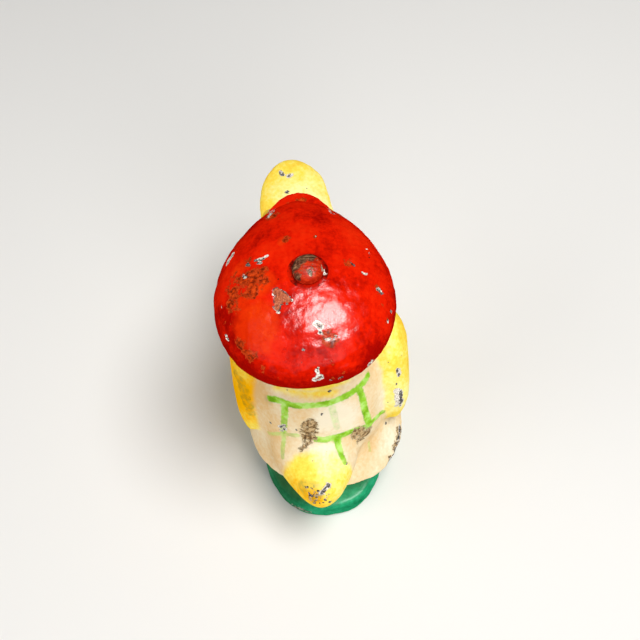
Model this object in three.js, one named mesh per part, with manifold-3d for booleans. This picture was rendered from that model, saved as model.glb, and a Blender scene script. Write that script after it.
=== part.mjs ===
// A cast iron paperweight: a duckling in a flat cap and a short jacket, on an oval base.
// Its hollow castings are stacked on one upright tie bolt, whose domed head is the cap's button.
// Millimetres. The duckling faces -Y, its left side is +X, and the bolt stands on the Z axis.
import * as THREE from 'three';
import { mergeVertices } from 'three/addons/utils/BufferGeometryUtils.js';
import Module from 'manifold-3d';

const wasm = await Module();
wasm.setup();

// Gap round whatever fits into or against a curved casting
const clearance = 0.3;

// A form's main sizes are its height along its axis and its widest reach to each side, to the front
// and to the back. Its profile gives the sections as shares of these, from its low end to its high end,
// and how far the section's middle is shifted back. A drop is how far a form hangs below its seat.
const base = {
  halfWidth: 18.6, front: 30, back: 30.3, height: 7, edge: 1.8, foundryEdge: 0.6,
  frontPower: 3.4, backPower: 2.4,
  bossRadius: 9.5, bossHeight: 4, pocketRadius: 7.2, pocketDepth: 6.2,
  hollowDepth: 1.6, rim: 5,
};

const lowerBody = {
  height: 16, halfWidth: 16.2, front: 18, back: 19.2,
  profile: [
    { at: 0, side: 0.84, front: 0.8, back: 0.83 },
    { at: 0.44, side: 0.98, front: 0.97, back: 0.97 },
    { at: 1, side: 1, front: 1, back: 1 },
  ],
  boreDepth: 11.5, spigotRadius: 9, spigotHeight: 3,
};

const jacket = {
  height: 35, drop: 6, halfWidth: 19.4, front: 22.6, back: 24, squareness: 2.25,
  profile: [
    { at: 0, side: 1, front: 0.93, back: 1 },
    { at: 0.14, side: 0.97, front: 0.94, back: 0.955 },
    { at: 0.37, side: 0.98, front: 1, back: 0.93 },
    { at: 0.63, side: 0.95, front: 0.94, back: 0.84 },
    { at: 0.86, side: 0.835, front: 0.78, back: 0.715 },
    { at: 1, side: 0.68, front: 0.63, back: 0.61 },
  ],
  floor: 4, wall: 3.6, neckWall: 4,
  // The hem stands out a little at the back, and is kicked out at the right hip and less at the left
  flare: 1, kick: 5, kickTurn: 142, leftKick: 2, leftKickTurn: 38, flareHeight: 9,
};

const wing = {
  height: 34, halfWidth: 5.4, front: 9.8, back: 8.8, shoulderRound: 9, tipRound: 9,
  profile: [
    { at: 0, side: 0.89, front: 0.84, back: 0.91 },
    { at: 0.3, side: 1, front: 1, back: 1 },
    { at: 0.6, side: 0.92, front: 0.83, back: 0.83 },
    { at: 1, side: 0.67, front: 0.41, back: 0.5 },
  ],
  shoulderHeight: 30, shoulderForward: 7.5, standOutLeft: 3.6, standOutRight: 5.4,
  sweep: 34, splay: 4, pegRadius: 2, pegAt: 13, pegOut: 4.2, pegIn: 4,
};

const tail = {
  height: 23.8, halfWidth: 12.6, front: 10.6, back: 10, tipRound: 4.4,
  profile: [
    { at: 0, side: 1, front: 1, back: 1 },
    { at: 0.3, side: 0.955, front: 0.925, back: 0.94 },
    { at: 0.565, side: 0.785, front: 0.755, back: 0.78 },
    { at: 0.825, side: 0.485, front: 0.51, back: 0.52 },
    { at: 1, side: 0.325, front: 0.36, back: 0.36 },
  ],
  rootHeight: 4.2, rootBack: 12, rootAside: 2.2, lift: 1, turn: -3, pegRadius: 3, pegFrom: 1, pegTo: 14,
};

const head = {
  height: 27, halfWidth: 18, front: 17.6, back: 17.4, shift: -3.4,
  profile: [
    { at: 0, side: 0.68, front: 0.705, back: 0.78, shift: 0 },
    { at: 0.13, side: 0.855, front: 0.875, back: 0.895, shift: 0.35 },
    { at: 0.3, side: 0.98, front: 0.98, back: 0.98, shift: 0.76 },
    { at: 0.48, side: 1, front: 1, back: 1, shift: 1 },
    { at: 0.67, side: 0.935, front: 0.945, back: 0.945, shift: 1 },
    { at: 0.815, side: 0.8, front: 0.82, back: 0.82, shift: 0.82 },
    { at: 0.925, side: 0.645, front: 0.66, back: 0.67, shift: 0.65 },
    { at: 1, side: 0.5, front: 0.51, back: 0.52, shift: 0.6 },
  ],
  wall: 4, floor: 3, roof: 4, spigotRadius: 8, spigotLength: 5, coreRadius: 5.2,
};

// The bill lies forward, so its front is its underside and its back is its ridge
const bill = {
  height: 36.5, halfWidth: 10.2, front: 8, back: 6.2, shift: 1.4, tipRound: 9,
  profile: [
    { at: 0, side: 0.98, front: 1, back: 1, shift: 0 },
    { at: 0.28, side: 1, front: 0.775, back: 0.775, shift: -0.3 },
    { at: 0.555, side: 0.97, front: 0.575, back: 0.615, shift: -0.3 },
    { at: 0.805, side: 0.83, front: 0.45, back: 0.515, shift: 0.3 },
    { at: 1, side: 0.7, front: 0.35, back: 0.45, shift: 1 },
  ],
  rootHeight: 8.6, rootForward: 13.4, rootAside: 0.4, lift: 1, turn: 4.5,
  mouthGap: 0.6, mouthLine: -0.6, lowerInset: 0.7, lowerShorter: 2.5,
  upperPeg: { radius: 1.6, height: 2.2 }, lowerPeg: { radius: 1.4, height: -3.6 },
  pegFrom: -1, pegTo: 10,
};

const eye = {
  radius: 2.6, height: 1.6, turn: 42, lean: 82, rise: 13, sink: 1.2, pegRadius: 1.1, pegLength: 3.2,
};

const cap = {
  height: 17, drop: 9, halfWidth: 21.4, front: 26.6, back: 22.5, frontPower: 1.68, backPower: 2.2,
  profile: [
    { at: 0, side: 0.965, front: 0.97, back: 0.965 },
    { at: 0.3, side: 1, front: 1, back: 1 },
    { at: 1, side: 0.975, front: 0.95, back: 0.98 },
  ],
  aside: 1.35, domeHeight: 12.5, brimRound: 4.2, brimInset: 1.6, buttonSeat: 0.3,
};

const visor = {
  halfWidth: 14.5, reach: 33.6, thickness: 2.2, edge: 0.9, rearEdge: 7, squareness: 2,
  pegRadius: 0.9, pegHeight: 3, pegAside: 5, pegForward: 21.5,
};

// The setback is the room left between the middle toe and the front of the base
const foot = {
  heelRadius: 2.4, length: 12.4, toeRadius: 1.3, toeSpread: 20, webDip: 2.4, thickness: 2.8, bevel: 0.7,
  setback: 6.1, aside: 7, turn: 6, pegRadius: 1.5, pegLength: 2.6, pegForward: 8,
};

const bolt = {
  radius: 2.5, holeGap: 0.4, buttonRadius: 3.5, buttonHeight: 3.3, buttonEdge: 1.1,
  nutAcross: 8, nutHeight: 3.2, nutGap: 0.1, washerRadius: 5.6, washerThickness: 1, threadEnd: 0.8,
};

// Heights of the seats, each casting standing on the one below
const lowerBodySeat = base.height;
const jacketSeat = lowerBodySeat + lowerBody.height;
const headSeat = jacketSeat + jacket.height - jacket.drop;
const capSeat = headSeat + head.height;
const buttonSeat = capSeat + cap.height - cap.drop - cap.buttonSeat;

const jacketTop = jacket.height - jacket.drop;
const boltHole = bolt.radius + bolt.holeGap;
const wellClear = 60;

const paint = {
  green: [0x1f8f6c, 0.5],
  yellow: [0xe9c93a, 0.45],
  cream: [0xe3cdb0, 0.5],
  red: [0xc81f12, 0.35],
  black: [0x1c1a19, 0.3],
  iron: [0x54463c, 0.6],
};

const radians = THREE.MathUtils.degToRad;
const upright = 90;

// The sections of a form in millimetres, each at its place along the form's axis
function stationsOf(form) {
  return form.profile.map((section) => ({
    at: section.at * form.height - (form.drop ?? 0),
    side: section.side * form.halfWidth,
    front: section.front * form.front,
    back: section.back * form.back,
    shift: (section.shift ?? 0) * (form.shift ?? 0),
  }));
}

const stations = {
  lowerBody: stationsOf(lowerBody),
  jacket: stationsOf(jacket),
  wing: stationsOf(wing),
  tail: stationsOf(tail),
  head: stationsOf(head),
  bill: stationsOf(bill),
  cap: stationsOf(cap),
};

// The smooth value of one reach at a place between the sections
function reachAt(sections, key, at) {
  const last = sections.length - 1;
  const place = THREE.MathUtils.clamp(at, sections[0].at, sections[last].at);
  const next = Math.max(1, sections.findIndex((section) => section.at >= place));
  const value = (i) => sections[i][key] ?? 0;
  const slope = (i) => {
    const before = Math.max(i - 1, 0);
    const after = Math.min(i + 1, last);
    return (value(after) - value(before)) / (sections[after].at - sections[before].at);
  };
  const span = sections[next].at - sections[next - 1].at;
  const t = (place - sections[next - 1].at) / span;
  const rise = t * t * (3 - 2 * t);
  return value(next - 1) * (1 - rise) + value(next) * rise
    + span * slope(next - 1) * t * (1 - t) ** 2 - span * slope(next) * t * t * (1 - t);
}

// Places along a form, and how far its surface draws in there because an end is rounded.
// A rounding without an inset closes the form to a point on its axis.
function levelsOf(from, to, rings, startRound, endRound, steps) {
  const levels = [];
  const low = from + (startRound?.height ?? 0);
  const high = to - (endRound?.height ?? 0);
  for (let i = 0; startRound && i < steps; i++) {
    const turn = (i / steps) * Math.PI / 2;
    const at = low - startRound.height * Math.cos(turn);
    levels.push({ at, draw: 1 - Math.sin(turn), round: startRound });
  }
  for (let i = 0; i <= rings; i++) {
    levels.push({ at: low + (high - low) * i / rings, draw: 0 });
  }
  for (let i = steps - 1; endRound && i >= 0; i--) {
    const turn = (i / steps) * Math.PI / 2;
    const at = high + endRound.height * Math.cos(turn);
    levels.push({ at, draw: 1 - Math.sin(turn), round: endRound });
  }
  return levels;
}

// A closed form along Z through its oval sections
function ovalForm(sections, options = {}) {
  const {
    from = sections[0].at, to = sections.at(-1).at, rings = 8, around = 32, steps = 5,
    startRound, endRound, grow = 0, frontPower = 2, backPower = 2, swell = () => 0,
  } = options;
  const signedPower = (value, power) => Math.sign(value) * Math.abs(value) ** (2 / power);
  const points = [];
  const faces = [];
  const starts = [];
  for (const level of levelsOf(from, to, rings, startRound, endRound, steps)) {
    const pointed = level.draw === 1 && level.round.inset === undefined;
    starts.push({ first: points.length / 3, pointed });
    const shift = reachAt(sections, 'shift', level.at);
    if (pointed) {
      points.push(0, shift, level.at);
      continue;
    }
    const drawnIn = (reach) => reach + grow - level.draw * (level.round?.inset ?? reach + grow);
    const side = drawnIn(reachAt(sections, 'side', level.at));
    for (let i = 0; i < around; i++) {
      const angle = (i / around) * Math.PI * 2;
      const cos = Math.cos(angle);
      const sin = Math.sin(angle);
      const power = sin < 0 ? frontPower : backPower;
      const depth = drawnIn(reachAt(sections, sin < 0 ? 'front' : 'back', level.at));
      const out = swell(angle, level.at);
      points.push(
        side * signedPower(cos, power) + out * cos,
        shift + depth * signedPower(sin, power) + out * sin,
        level.at,
      );
    }
  }
  const fan = (tip, ring, upward) => {
    for (let i = 0; i < around; i++) {
      const a = ring + i;
      const b = ring + (i + 1) % around;
      faces.push(tip, upward ? a : b, upward ? b : a);
    }
  };
  for (let k = 0; k < starts.length - 1; k++) {
    const [lower, upper] = [starts[k], starts[k + 1]];
    if (lower.pointed) fan(lower.first, upper.first, false);
    else if (upper.pointed) fan(upper.first, lower.first, true);
    for (let i = 0; !lower.pointed && !upper.pointed && i < around; i++) {
      const j = (i + 1) % around;
      const [a, b, c, d] = [lower.first + i, lower.first + j, upper.first + j, upper.first + i];
      faces.push(a, b, c, a, c, d);
    }
  }
  for (const [ring, upward] of [[starts[0], false], [starts.at(-1), true]]) {
    if (ring.pointed) continue;
    const level = points[ring.first * 3 + 2];
    points.push(0, reachAt(sections, 'shift', level), level);
    fan(points.length / 3 - 1, ring.first, upward);
  }
  const geometry = new THREE.BufferGeometry();
  geometry.setAttribute('position', new THREE.Float32BufferAttribute(points, 3));
  geometry.setIndex(faces);
  return geometry;
}

// An upright cylinder between two heights
function post(radius, from, to, segments = 28) {
  const cylinder = new THREE.CylinderGeometry(radius, radius, to - from, segments);
  return cylinder.rotateX(Math.PI / 2).translate(0, 0, (from + to) / 2);
}

function solid(geometry) {
  const bare = geometry.clone();
  bare.deleteAttribute('normal');
  bare.deleteAttribute('uv');
  const merged = mergeVertices(bare, 1e-4);
  return new wasm.Manifold(new wasm.Mesh({
    numProp: 3,
    vertProperties: merged.attributes.position.array,
    triVerts: new Uint32Array(merged.index.array),
  }));
}

function union(first, ...others) {
  return others.reduce((sum, other) => sum.add(solid(other)), solid(first));
}

function less(body, ...cutters) {
  return cutters.reduce((rest, cutter) => rest.subtract(solid(cutter)), body);
}

function mesh(name, shape, [color, roughness]) {
  const { vertProperties, triVerts } = shape.getMesh();
  const geometry = new THREE.BufferGeometry();
  geometry.setAttribute('position', new THREE.BufferAttribute(new Float32Array(vertProperties), 3));
  geometry.setIndex(new THREE.BufferAttribute(new Uint32Array(triVerts), 1));
  geometry.computeVertexNormals();
  const material = new THREE.MeshStandardMaterial({ color, roughness, metalness: 0.1 });
  const made = new THREE.Mesh(geometry, material);
  made.name = name;
  return made;
}

// Where a piece stands, as an object whose matrix takes the piece's own frame to the figure's
function placed(x, y, z, tiltX = 0, tiltY = 0, tiltZ = 0) {
  const place = new THREE.Object3D();
  place.position.set(x, y, z);
  place.rotation.set(radians(tiltX), radians(tiltY), radians(tiltZ), 'ZYX');
  place.updateMatrix();
  return place;
}

// Geometry of one frame, as it lies in another
function moved(geometry, from, to) {
  const change = to.matrix.clone().invert().multiply(from.matrix);
  return geometry.clone().applyMatrix4(change);
}

function stand(piece, place) {
  piece.position.copy(place.position);
  piece.rotation.copy(place.rotation);
  return piece;
}

const lowerBodyPlace = placed(0, 0, lowerBodySeat);
const jacketPlace = placed(0, 0, jacketSeat);
const headPlace = placed(0, 0, headSeat);
const capPlace = placed(cap.aside, 0, capSeat);
const figurePlace = placed(0, 0, 0);

// Outer forms, which can grow to make room for their neighbours

function lowerBodyForm(grow = 0) {
  return ovalForm(stations.lowerBody, { rings: 6, grow });
}

function jacketForm(grow = 0, from = -jacket.drop, to = jacketTop) {
  const swell = (angle, at) => {
    const low = THREE.MathUtils.clamp(1 - (at + jacket.drop) / jacket.flareHeight, 0, 1) ** 1.6;
    const behind = Math.max(0, Math.sin(angle));
    const hip = Math.max(0, Math.cos(angle - radians(jacket.kickTurn)));
    const leftHip = Math.max(0, Math.cos(angle - radians(jacket.leftKickTurn)));
    return low * (jacket.flare * behind + jacket.kick * hip ** 2 + jacket.leftKick * leftHip ** 2);
  };
  const powers = { frontPower: jacket.squareness, backPower: jacket.squareness };
  return ovalForm(stations.jacket, { ...powers, from, to, rings: 12, around: 36, grow, swell });
}

function headForm(grow = 0) {
  return ovalForm(stations.head, { rings: 11, around: 36, grow });
}

function wingForm() {
  return ovalForm(stations.wing, {
    rings: 5, around: 20, startRound: { height: wing.shoulderRound }, endRound: { height: wing.tipRound },
  });
}

// Pegs, cast on a piece in its own frame, and the same peg grown for its socket

function wingPeg(side, grow = 0) {
  return post(wing.pegRadius + grow, -wing.pegOut, wing.pegIn + grow, 16)
    .rotateY(side * Math.PI / 2).translate(0, 0, wing.pegAt);
}

function tailPeg(grow = 0) {
  return post(tail.pegRadius + grow, tail.pegFrom - grow, tail.pegTo, 20);
}

function billPeg(peg, grow = 0) {
  return post(peg.radius + grow, bill.pegFrom - grow, bill.pegTo, 16).translate(0, peg.height, 0);
}

function eyePeg(grow = 0) {
  return post(eye.pegRadius + grow, -eye.pegLength - grow, eye.sink + clearance + 0.5, 12);
}

function footPeg(grow = 0) {
  return post(foot.pegRadius + grow, -foot.pegLength - grow, 0.6, 16).translate(0, -foot.pegForward, 0);
}

function visorPegs(grow = 0) {
  return [-1, 1].map((side) => post(visor.pegRadius + grow, -0.4, visor.pegHeight + grow, 12)
    .translate(side * visor.pegAside, -visor.pegForward, stations.cap[0].at));
}

// Places of the pieces that are pegged on

function wingPlace(side) {
  const height = jacketSeat + wing.shoulderHeight;
  const outline = reachAt(stations.jacket, 'side', wing.shoulderHeight - wing.pegAt);
  const standOut = side > 0 ? wing.standOutLeft : wing.standOutRight;
  const axis = outline + standOut - reachAt(stations.wing, 'side', wing.pegAt);
  const turnedDown = side * (180 - wing.splay);
  return placed(side * axis, -wing.shoulderForward, height, -wing.sweep, turnedDown, 0);
}

const tailPlace = placed(
  tail.rootAside, tail.rootBack, jacketSeat + tail.rootHeight,
  tail.lift - upright, 0, -tail.turn,
);
const billPlace = placed(
  bill.rootAside, -bill.rootForward, headSeat + bill.rootHeight,
  upright - bill.lift, 0, bill.turn,
);

function eyePlace(side) {
  const turn = radians(eye.turn);
  const out = reachAt(stations.head, 'front', eye.rise) - eye.sink;
  const outline = reachAt(stations.head, 'side', eye.rise) - eye.sink;
  const shift = reachAt(stations.head, 'shift', eye.rise);
  return placed(side * outline * Math.sin(turn), shift - out * Math.cos(turn), headSeat + eye.rise,
    eye.lean, 0, side * eye.turn);
}

function footPlace(side) {
  const heelForward = base.front - foot.setback - foot.length - foot.toeRadius;
  return placed(side * foot.aside, -heelForward, base.height, 0, 0, side * foot.turn);
}

// Base: an oval plinth with a boss for the lower body and a pocket for the nut
function makeBase() {
  const outline = [0, base.height].map((at) => (
    { at, side: base.halfWidth, front: base.front, back: base.back }
  ));
  const powers = { frontPower: base.frontPower, backPower: base.backPower, around: 48, rings: 1, steps: 3 };
  const plinth = ovalForm(outline, {
    ...powers,
    startRound: { height: base.foundryEdge, inset: base.foundryEdge },
    endRound: { height: base.edge, inset: base.edge },
  });
  const hollow = ovalForm(outline, { ...powers, from: -1, to: base.hollowDepth, grow: -base.rim });
  const shape = less(
    union(plinth, post(base.bossRadius, base.height - 1, base.height + base.bossHeight)),
    hollow,
    post(base.pocketRadius, -1, base.pocketDepth),
    post(boltHole, -1, wellClear),
    ...[-1, 1].map((side) => moved(footPeg(clearance), footPlace(side), figurePlace)),
  );
  return mesh('base', shape, paint.green);
}

// Lower body: the rump and belly below the jacket, slipped over the base's boss
function makeLowerBody() {
  const top = lowerBody.height;
  const shape = less(
    union(lowerBodyForm(), post(lowerBody.spigotRadius, top - 1, top + lowerBody.spigotHeight)),
    post(base.bossRadius + clearance, -1, lowerBody.boreDepth),
    post(boltHole, -1, wellClear),
  );
  return stand(mesh('lower_body', shape, paint.yellow), lowerBodyPlace);
}

// Jacket: a hollow casting in a front and a back half, held between the spigots above and below
function makeJacketHalf(name, forward) {
  const top = jacketTop;
  const cavity = jacketForm(-jacket.wall, jacket.floor, top - jacket.neckWall);
  const skirtRoom = moved(lowerBodyForm(clearance), lowerBodyPlace, jacketPlace);
  const half = new THREE.BoxGeometry(2 * wellClear, wellClear, 2 * wellClear)
    .translate(0, forward * wellClear / -2, 0);
  const shape = less(
    solid(jacketForm()).intersect(solid(half)),
    cavity,
    skirtRoom,
    post(lowerBody.spigotRadius + clearance, -1, jacket.floor + 1),
    post(head.spigotRadius + clearance, top - jacket.neckWall - 1, top + 1),
    ...[-1, 1].map((side) => moved(wingPeg(side, clearance), wingPlace(side), jacketPlace)),
    moved(tailPeg(clearance), tailPlace, jacketPlace),
  );
  return stand(mesh(name, shape, paint.cream), jacketPlace);
}

// Wing: a teardrop that lies against the jacket from the shoulder to the hip
function makeWing(name, side) {
  const place = wingPlace(side);
  const shape = less(solid(wingForm()), moved(jacketForm(clearance), jacketPlace, place))
    .add(solid(wingPeg(side)));
  return stand(mesh(name, shape, paint.yellow), place);
}

// Tail: a short blunt cone, pegged into the jacket's back
function makeTail() {
  const cone = ovalForm(stations.tail, { rings: 6, around: 28, endRound: { height: tail.tipRound } });
  const shape = less(solid(cone), moved(jacketForm(clearance), jacketPlace, tailPlace))
    .add(solid(tailPeg()));
  return stand(mesh('tail', shape, paint.yellow), tailPlace);
}

// Head: hollow, with a flat crown that the cap sits on and a spigot into the jacket's neck
function makeHead() {
  const top = head.height;
  const cavity = ovalForm(stations.head, {
    from: head.floor, to: top - head.roof, rings: 7, around: 28, grow: -head.wall,
  });
  const shape = less(
    union(headForm(), post(head.spigotRadius, -head.spigotLength, 1)),
    cavity,
    post(head.coreRadius, -head.spigotLength - 1, head.floor + 1),
    post(boltHole, -wellClear, wellClear),
    moved(billPeg(bill.upperPeg, clearance), billPlace, headPlace),
    moved(billPeg(bill.lowerPeg, clearance), billPlace, headPlace),
    ...[-1, 1].map((side) => moved(eyePeg(clearance), eyePlace(side), headPlace)),
  );
  return stand(mesh('head', shape, paint.yellow), headPlace);
}

// Bill: one blade split along the mouth, each half pegged into the face
function makeBillHalf(name, upper) {
  const tip = bill.height;
  const blade = ovalForm(stations.bill, {
    to: upper ? tip : tip - bill.lowerShorter,
    rings: 6, around: 28,
    grow: upper ? 0 : -bill.lowerInset,
    endRound: { height: bill.tipRound },
  });
  const edge = bill.mouthLine + (upper ? 1 : -1) * bill.mouthGap / 2;
  const half = new THREE.BoxGeometry(2 * wellClear, wellClear, 4 * wellClear)
    .translate(0, edge + (upper ? 1 : -1) * wellClear / 2, 0);
  const shape = solid(blade).intersect(solid(half))
    .subtract(solid(moved(headForm(clearance), headPlace, billPlace)))
    .add(solid(billPeg(upper ? bill.upperPeg : bill.lowerPeg)));
  return stand(mesh(name, shape, paint.yellow), billPlace);
}

// Eye: a low bead, pegged into the face beside the bill
function makeEye(name, side) {
  const place = eyePlace(side);
  const bead = ovalForm([
    { at: -1, side: eye.radius, front: eye.radius, back: eye.radius },
    { at: eye.height + eye.sink, side: eye.radius, front: eye.radius, back: eye.radius },
  ], { rings: 1, around: 20, steps: 4, endRound: { height: eye.height } });
  const shape = less(solid(bead), moved(headForm(clearance), headPlace, place)).add(solid(eyePeg()));
  return stand(mesh(name, shape, paint.black), place);
}

// Cap: a puffed crown, narrower in front, that fits over the head
function makeCapCrown() {
  const crown = ovalForm(stations.cap, {
    rings: 3, around: 44, steps: 7,
    frontPower: cap.frontPower, backPower: cap.backPower,
    startRound: { height: cap.brimRound, inset: cap.brimInset },
    endRound: { height: cap.domeHeight },
  });
  const shape = less(
    solid(crown),
    moved(headForm(clearance), headPlace, capPlace),
    moved(post(boltHole, capSeat - wellClear, buttonSeat + 1), figurePlace, capPlace),
    moved(post(bolt.buttonRadius + clearance, buttonSeat, buttonSeat + wellClear), figurePlace, capPlace),
    ...visorPegs(clearance),
  );
  return stand(mesh('cap_crown', shape, paint.red), capPlace);
}

// Visor: a short peak that hugs the head's front under the crown
function makeCapVisor() {
  const under = stations.cap[0].at;
  const plate = ovalForm([
    { at: under - visor.thickness, side: visor.halfWidth, front: visor.reach, back: visor.rearEdge },
    { at: under, side: visor.halfWidth, front: visor.reach, back: visor.rearEdge },
  ], {
    rings: 1, around: 36, steps: 2, frontPower: visor.squareness,
    startRound: { height: visor.edge, inset: visor.edge },
  });
  const rear = new THREE.BoxGeometry(wellClear, wellClear, wellClear)
    .translate(0, wellClear / 2 - visor.rearEdge, 0);
  const shape = less(solid(plate), moved(headForm(clearance), headPlace, capPlace), rear);
  const pegged = visorPegs().reduce((sum, peg) => sum.add(solid(peg)), shape);
  return stand(mesh('cap_visor', pegged, paint.red), capPlace);
}

// Foot: a flat web with three toes, as seen from above
function makeFoot(name, side) {
  const web = new THREE.Shape();
  const toeAt = (toe) => {
    const spread = radians(toe * foot.toeSpread);
    return new THREE.Vector2(Math.sin(spread), -Math.cos(spread)).multiplyScalar(foot.length);
  };
  web.absarc(0, 0, foot.heelRadius, 0, Math.PI, false);
  for (const toe of [-1, 0, 1]) {
    const tip = toeAt(toe);
    const facing = radians(toe * foot.toeSpread - upright);
    const start = tip.clone().add(new THREE.Vector2(
      Math.cos(facing - Math.PI / 2), Math.sin(facing - Math.PI / 2),
    ).multiplyScalar(foot.toeRadius));
    const dip = toeAt(toe - 0.5);
    dip.setLength(dip.length() - foot.webDip);
    if (toe === -1) web.lineTo(start.x, start.y);
    else web.quadraticCurveTo(dip.x, dip.y, start.x, start.y);
    web.absarc(tip.x, tip.y, foot.toeRadius, facing - Math.PI / 2, facing + Math.PI / 2, false);
  }
  web.closePath();
  const plate = new THREE.ExtrudeGeometry(web, {
    depth: foot.thickness - foot.bevel, bevelSize: foot.bevel, bevelThickness: foot.bevel,
    bevelSegments: 1, curveSegments: 4,
  });
  const under = new THREE.BoxGeometry(wellClear, wellClear, wellClear).translate(0, 0, -wellClear / 2);
  const place = footPlace(side);
  const shape = less(solid(plate), under, moved(lowerBodyForm(clearance), lowerBodyPlace, place))
    .add(solid(footPeg()));
  return stand(mesh(name, shape, paint.yellow), place);
}

// Tie bolt: the shank holds the stack together, and its domed head is the cap's button
function makeButtonBolt() {
  const profile = new THREE.Path();
  profile.moveTo(0, bolt.threadEnd);
  profile.lineTo(bolt.radius, bolt.threadEnd);
  profile.lineTo(bolt.radius, buttonSeat);
  profile.lineTo(bolt.buttonRadius, buttonSeat);
  profile.lineTo(bolt.buttonRadius, buttonSeat + bolt.buttonEdge);
  profile.bezierCurveTo(
    bolt.buttonRadius, buttonSeat + bolt.buttonHeight * 0.75,
    bolt.buttonRadius * 0.6, buttonSeat + bolt.buttonHeight,
    0, buttonSeat + bolt.buttonHeight,
  );
  const turned = new THREE.LatheGeometry(profile.getPoints(6), 32).rotateX(Math.PI / 2);
  return mesh('button_bolt', solid(turned), paint.red);
}

function makeWasher() {
  const shape = less(
    solid(post(bolt.washerRadius, base.pocketDepth - bolt.washerThickness, base.pocketDepth)),
    post(boltHole, -1, wellClear),
  );
  return mesh('bolt_washer', shape, paint.iron);
}

function makeNut() {
  const top = base.pocketDepth - bolt.washerThickness;
  const corner = bolt.nutAcross / Math.sqrt(3);
  const shape = less(
    solid(post(corner, top - bolt.nutHeight, top, 6)),
    post(bolt.radius + bolt.nutGap, -1, wellClear),
  );
  return mesh('bolt_nut', shape, paint.iron);
}

const figure = new THREE.Group();
figure.add(
  makeBase(),
  makeLowerBody(),
  makeFoot('left_foot', 1),
  makeFoot('right_foot', -1),
  makeJacketHalf('jacket_front', 1),
  makeJacketHalf('jacket_back', -1),
  makeWing('left_wing', 1),
  makeWing('right_wing', -1),
  makeTail(),
  makeHead(),
  makeBillHalf('upper_bill', true),
  makeBillHalf('lower_bill', false),
  makeEye('left_eye', 1),
  makeEye('right_eye', -1),
  makeCapCrown(),
  makeCapVisor(),
  makeButtonBolt(),
  makeWasher(),
  makeNut(),
);

// The part's origin is on the floor under the middle of its box
const middle = new THREE.Box3().setFromObject(figure, true).getCenter(new THREE.Vector3());
figure.position.set(-middle.x, -middle.y, 0);

const paperweight = new THREE.Group();
paperweight.add(figure);

export default paperweight;
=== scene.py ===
import math

import bpy
import numpy as np
from mathutils import Matrix
from mathutils.bvhtree import BVHTree


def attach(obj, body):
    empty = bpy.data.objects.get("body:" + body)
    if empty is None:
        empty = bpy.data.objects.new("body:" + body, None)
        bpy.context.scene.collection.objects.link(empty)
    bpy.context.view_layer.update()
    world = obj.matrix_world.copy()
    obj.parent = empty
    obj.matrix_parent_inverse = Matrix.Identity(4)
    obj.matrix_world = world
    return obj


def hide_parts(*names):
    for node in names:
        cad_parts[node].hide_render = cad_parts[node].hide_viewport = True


# A hand painted cast iron duckling. Lengths are in millimetres unless a note says otherwise.
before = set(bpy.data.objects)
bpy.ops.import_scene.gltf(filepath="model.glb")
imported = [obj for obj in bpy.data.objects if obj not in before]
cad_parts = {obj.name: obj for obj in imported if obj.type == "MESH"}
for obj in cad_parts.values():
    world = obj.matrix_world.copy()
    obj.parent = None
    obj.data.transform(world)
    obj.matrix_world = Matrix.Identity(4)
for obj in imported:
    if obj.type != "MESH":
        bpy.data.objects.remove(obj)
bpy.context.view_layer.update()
mm = 0.001
coarser = 1.0   # bigger mesh cells while trying things
farOff = 9.0   # stands for a mark that is nowhere near
zoneReach, zoneFall = 1.3, 0.7   # how far past its radius a soft zone fades out, and how steeply
paintDepth = 0.14   # how deep the bigger chips are pressed in


def pickOnly(*pieces):
    bpy.ops.object.select_all(action="DESELECT")
    for piece in pieces:
        piece.select_set(True)
    bpy.context.view_layer.objects.active = pieces[0]


def openMesh(piece, action="SELECT"):
    pickOnly(piece)
    bpy.ops.object.mode_set(mode="EDIT")
    bpy.ops.mesh.select_all(action=action)


def closeMesh():
    bpy.ops.object.mode_set(mode="OBJECT")


def copyOf(nodes, name):
    pickOnly(*[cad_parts[node] for node in nodes])
    bpy.ops.object.duplicate()
    if len(nodes) > 1:
        bpy.ops.object.join()
    piece = bpy.context.view_layer.objects.active
    piece.parent = None
    for key in list(piece.keys()):
        del piece[key]
    piece.name = name
    piece.data.name = name
    piece.data.materials.clear()
    openMesh(piece)
    bpy.ops.mesh.remove_doubles(threshold=0.001 * mm)
    bpy.ops.mesh.customdata_custom_splitnormals_clear()
    closeMesh()
    return piece


def modify(piece, kind, **settings):
    pickOnly(piece)
    modifier = piece.modifiers.new(kind.lower(), kind)
    for key, value in settings.items():
        setattr(modifier, key, value)
    bpy.ops.object.modifier_apply(modifier=modifier.name)


# Casts the piece anew as one skin: sharp inner corners fill up to a fillet, and facets melt away
def recast(piece, form):
    cell = form["grain"] * coarser * mm
    modify(piece, "REMESH", mode="VOXEL", voxel_size=cell)
    if form["fillet"]:
        modify(piece, "DISPLACE", strength=form["fillet"] * mm, mid_level=0)
        modify(piece, "REMESH", mode="VOXEL", voxel_size=cell)
        modify(piece, "DISPLACE", strength=-form["fillet"] * mm, mid_level=0)
        modify(piece, "REMESH", mode="VOXEL", voxel_size=cell)
    keepOutside(piece)
    before, edges = pointsOf(piece), edgesOf(piece)
    rounds = round(form["rounds"] / coarser ** 2)
    after = relaxed(before, edges, rounds)
    for _ in range(3):
        after += relaxed(before - after, edges, rounds)   # gives thin tips back what the smoothing took
    movePoints(piece, after)
    for size, height in form["lumps"]:
        lumps = bpy.data.textures.new(f"{piece.name} lumps {size}", "CLOUDS")
        lumps.noise_scale = size * mm
        lumps.noise_depth = 1
        modify(piece, "DISPLACE", texture=lumps, texture_coords="LOCAL",
               strength=height * mm, mid_level=form["sunk"])
    piece.data.shade_smooth()


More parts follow.
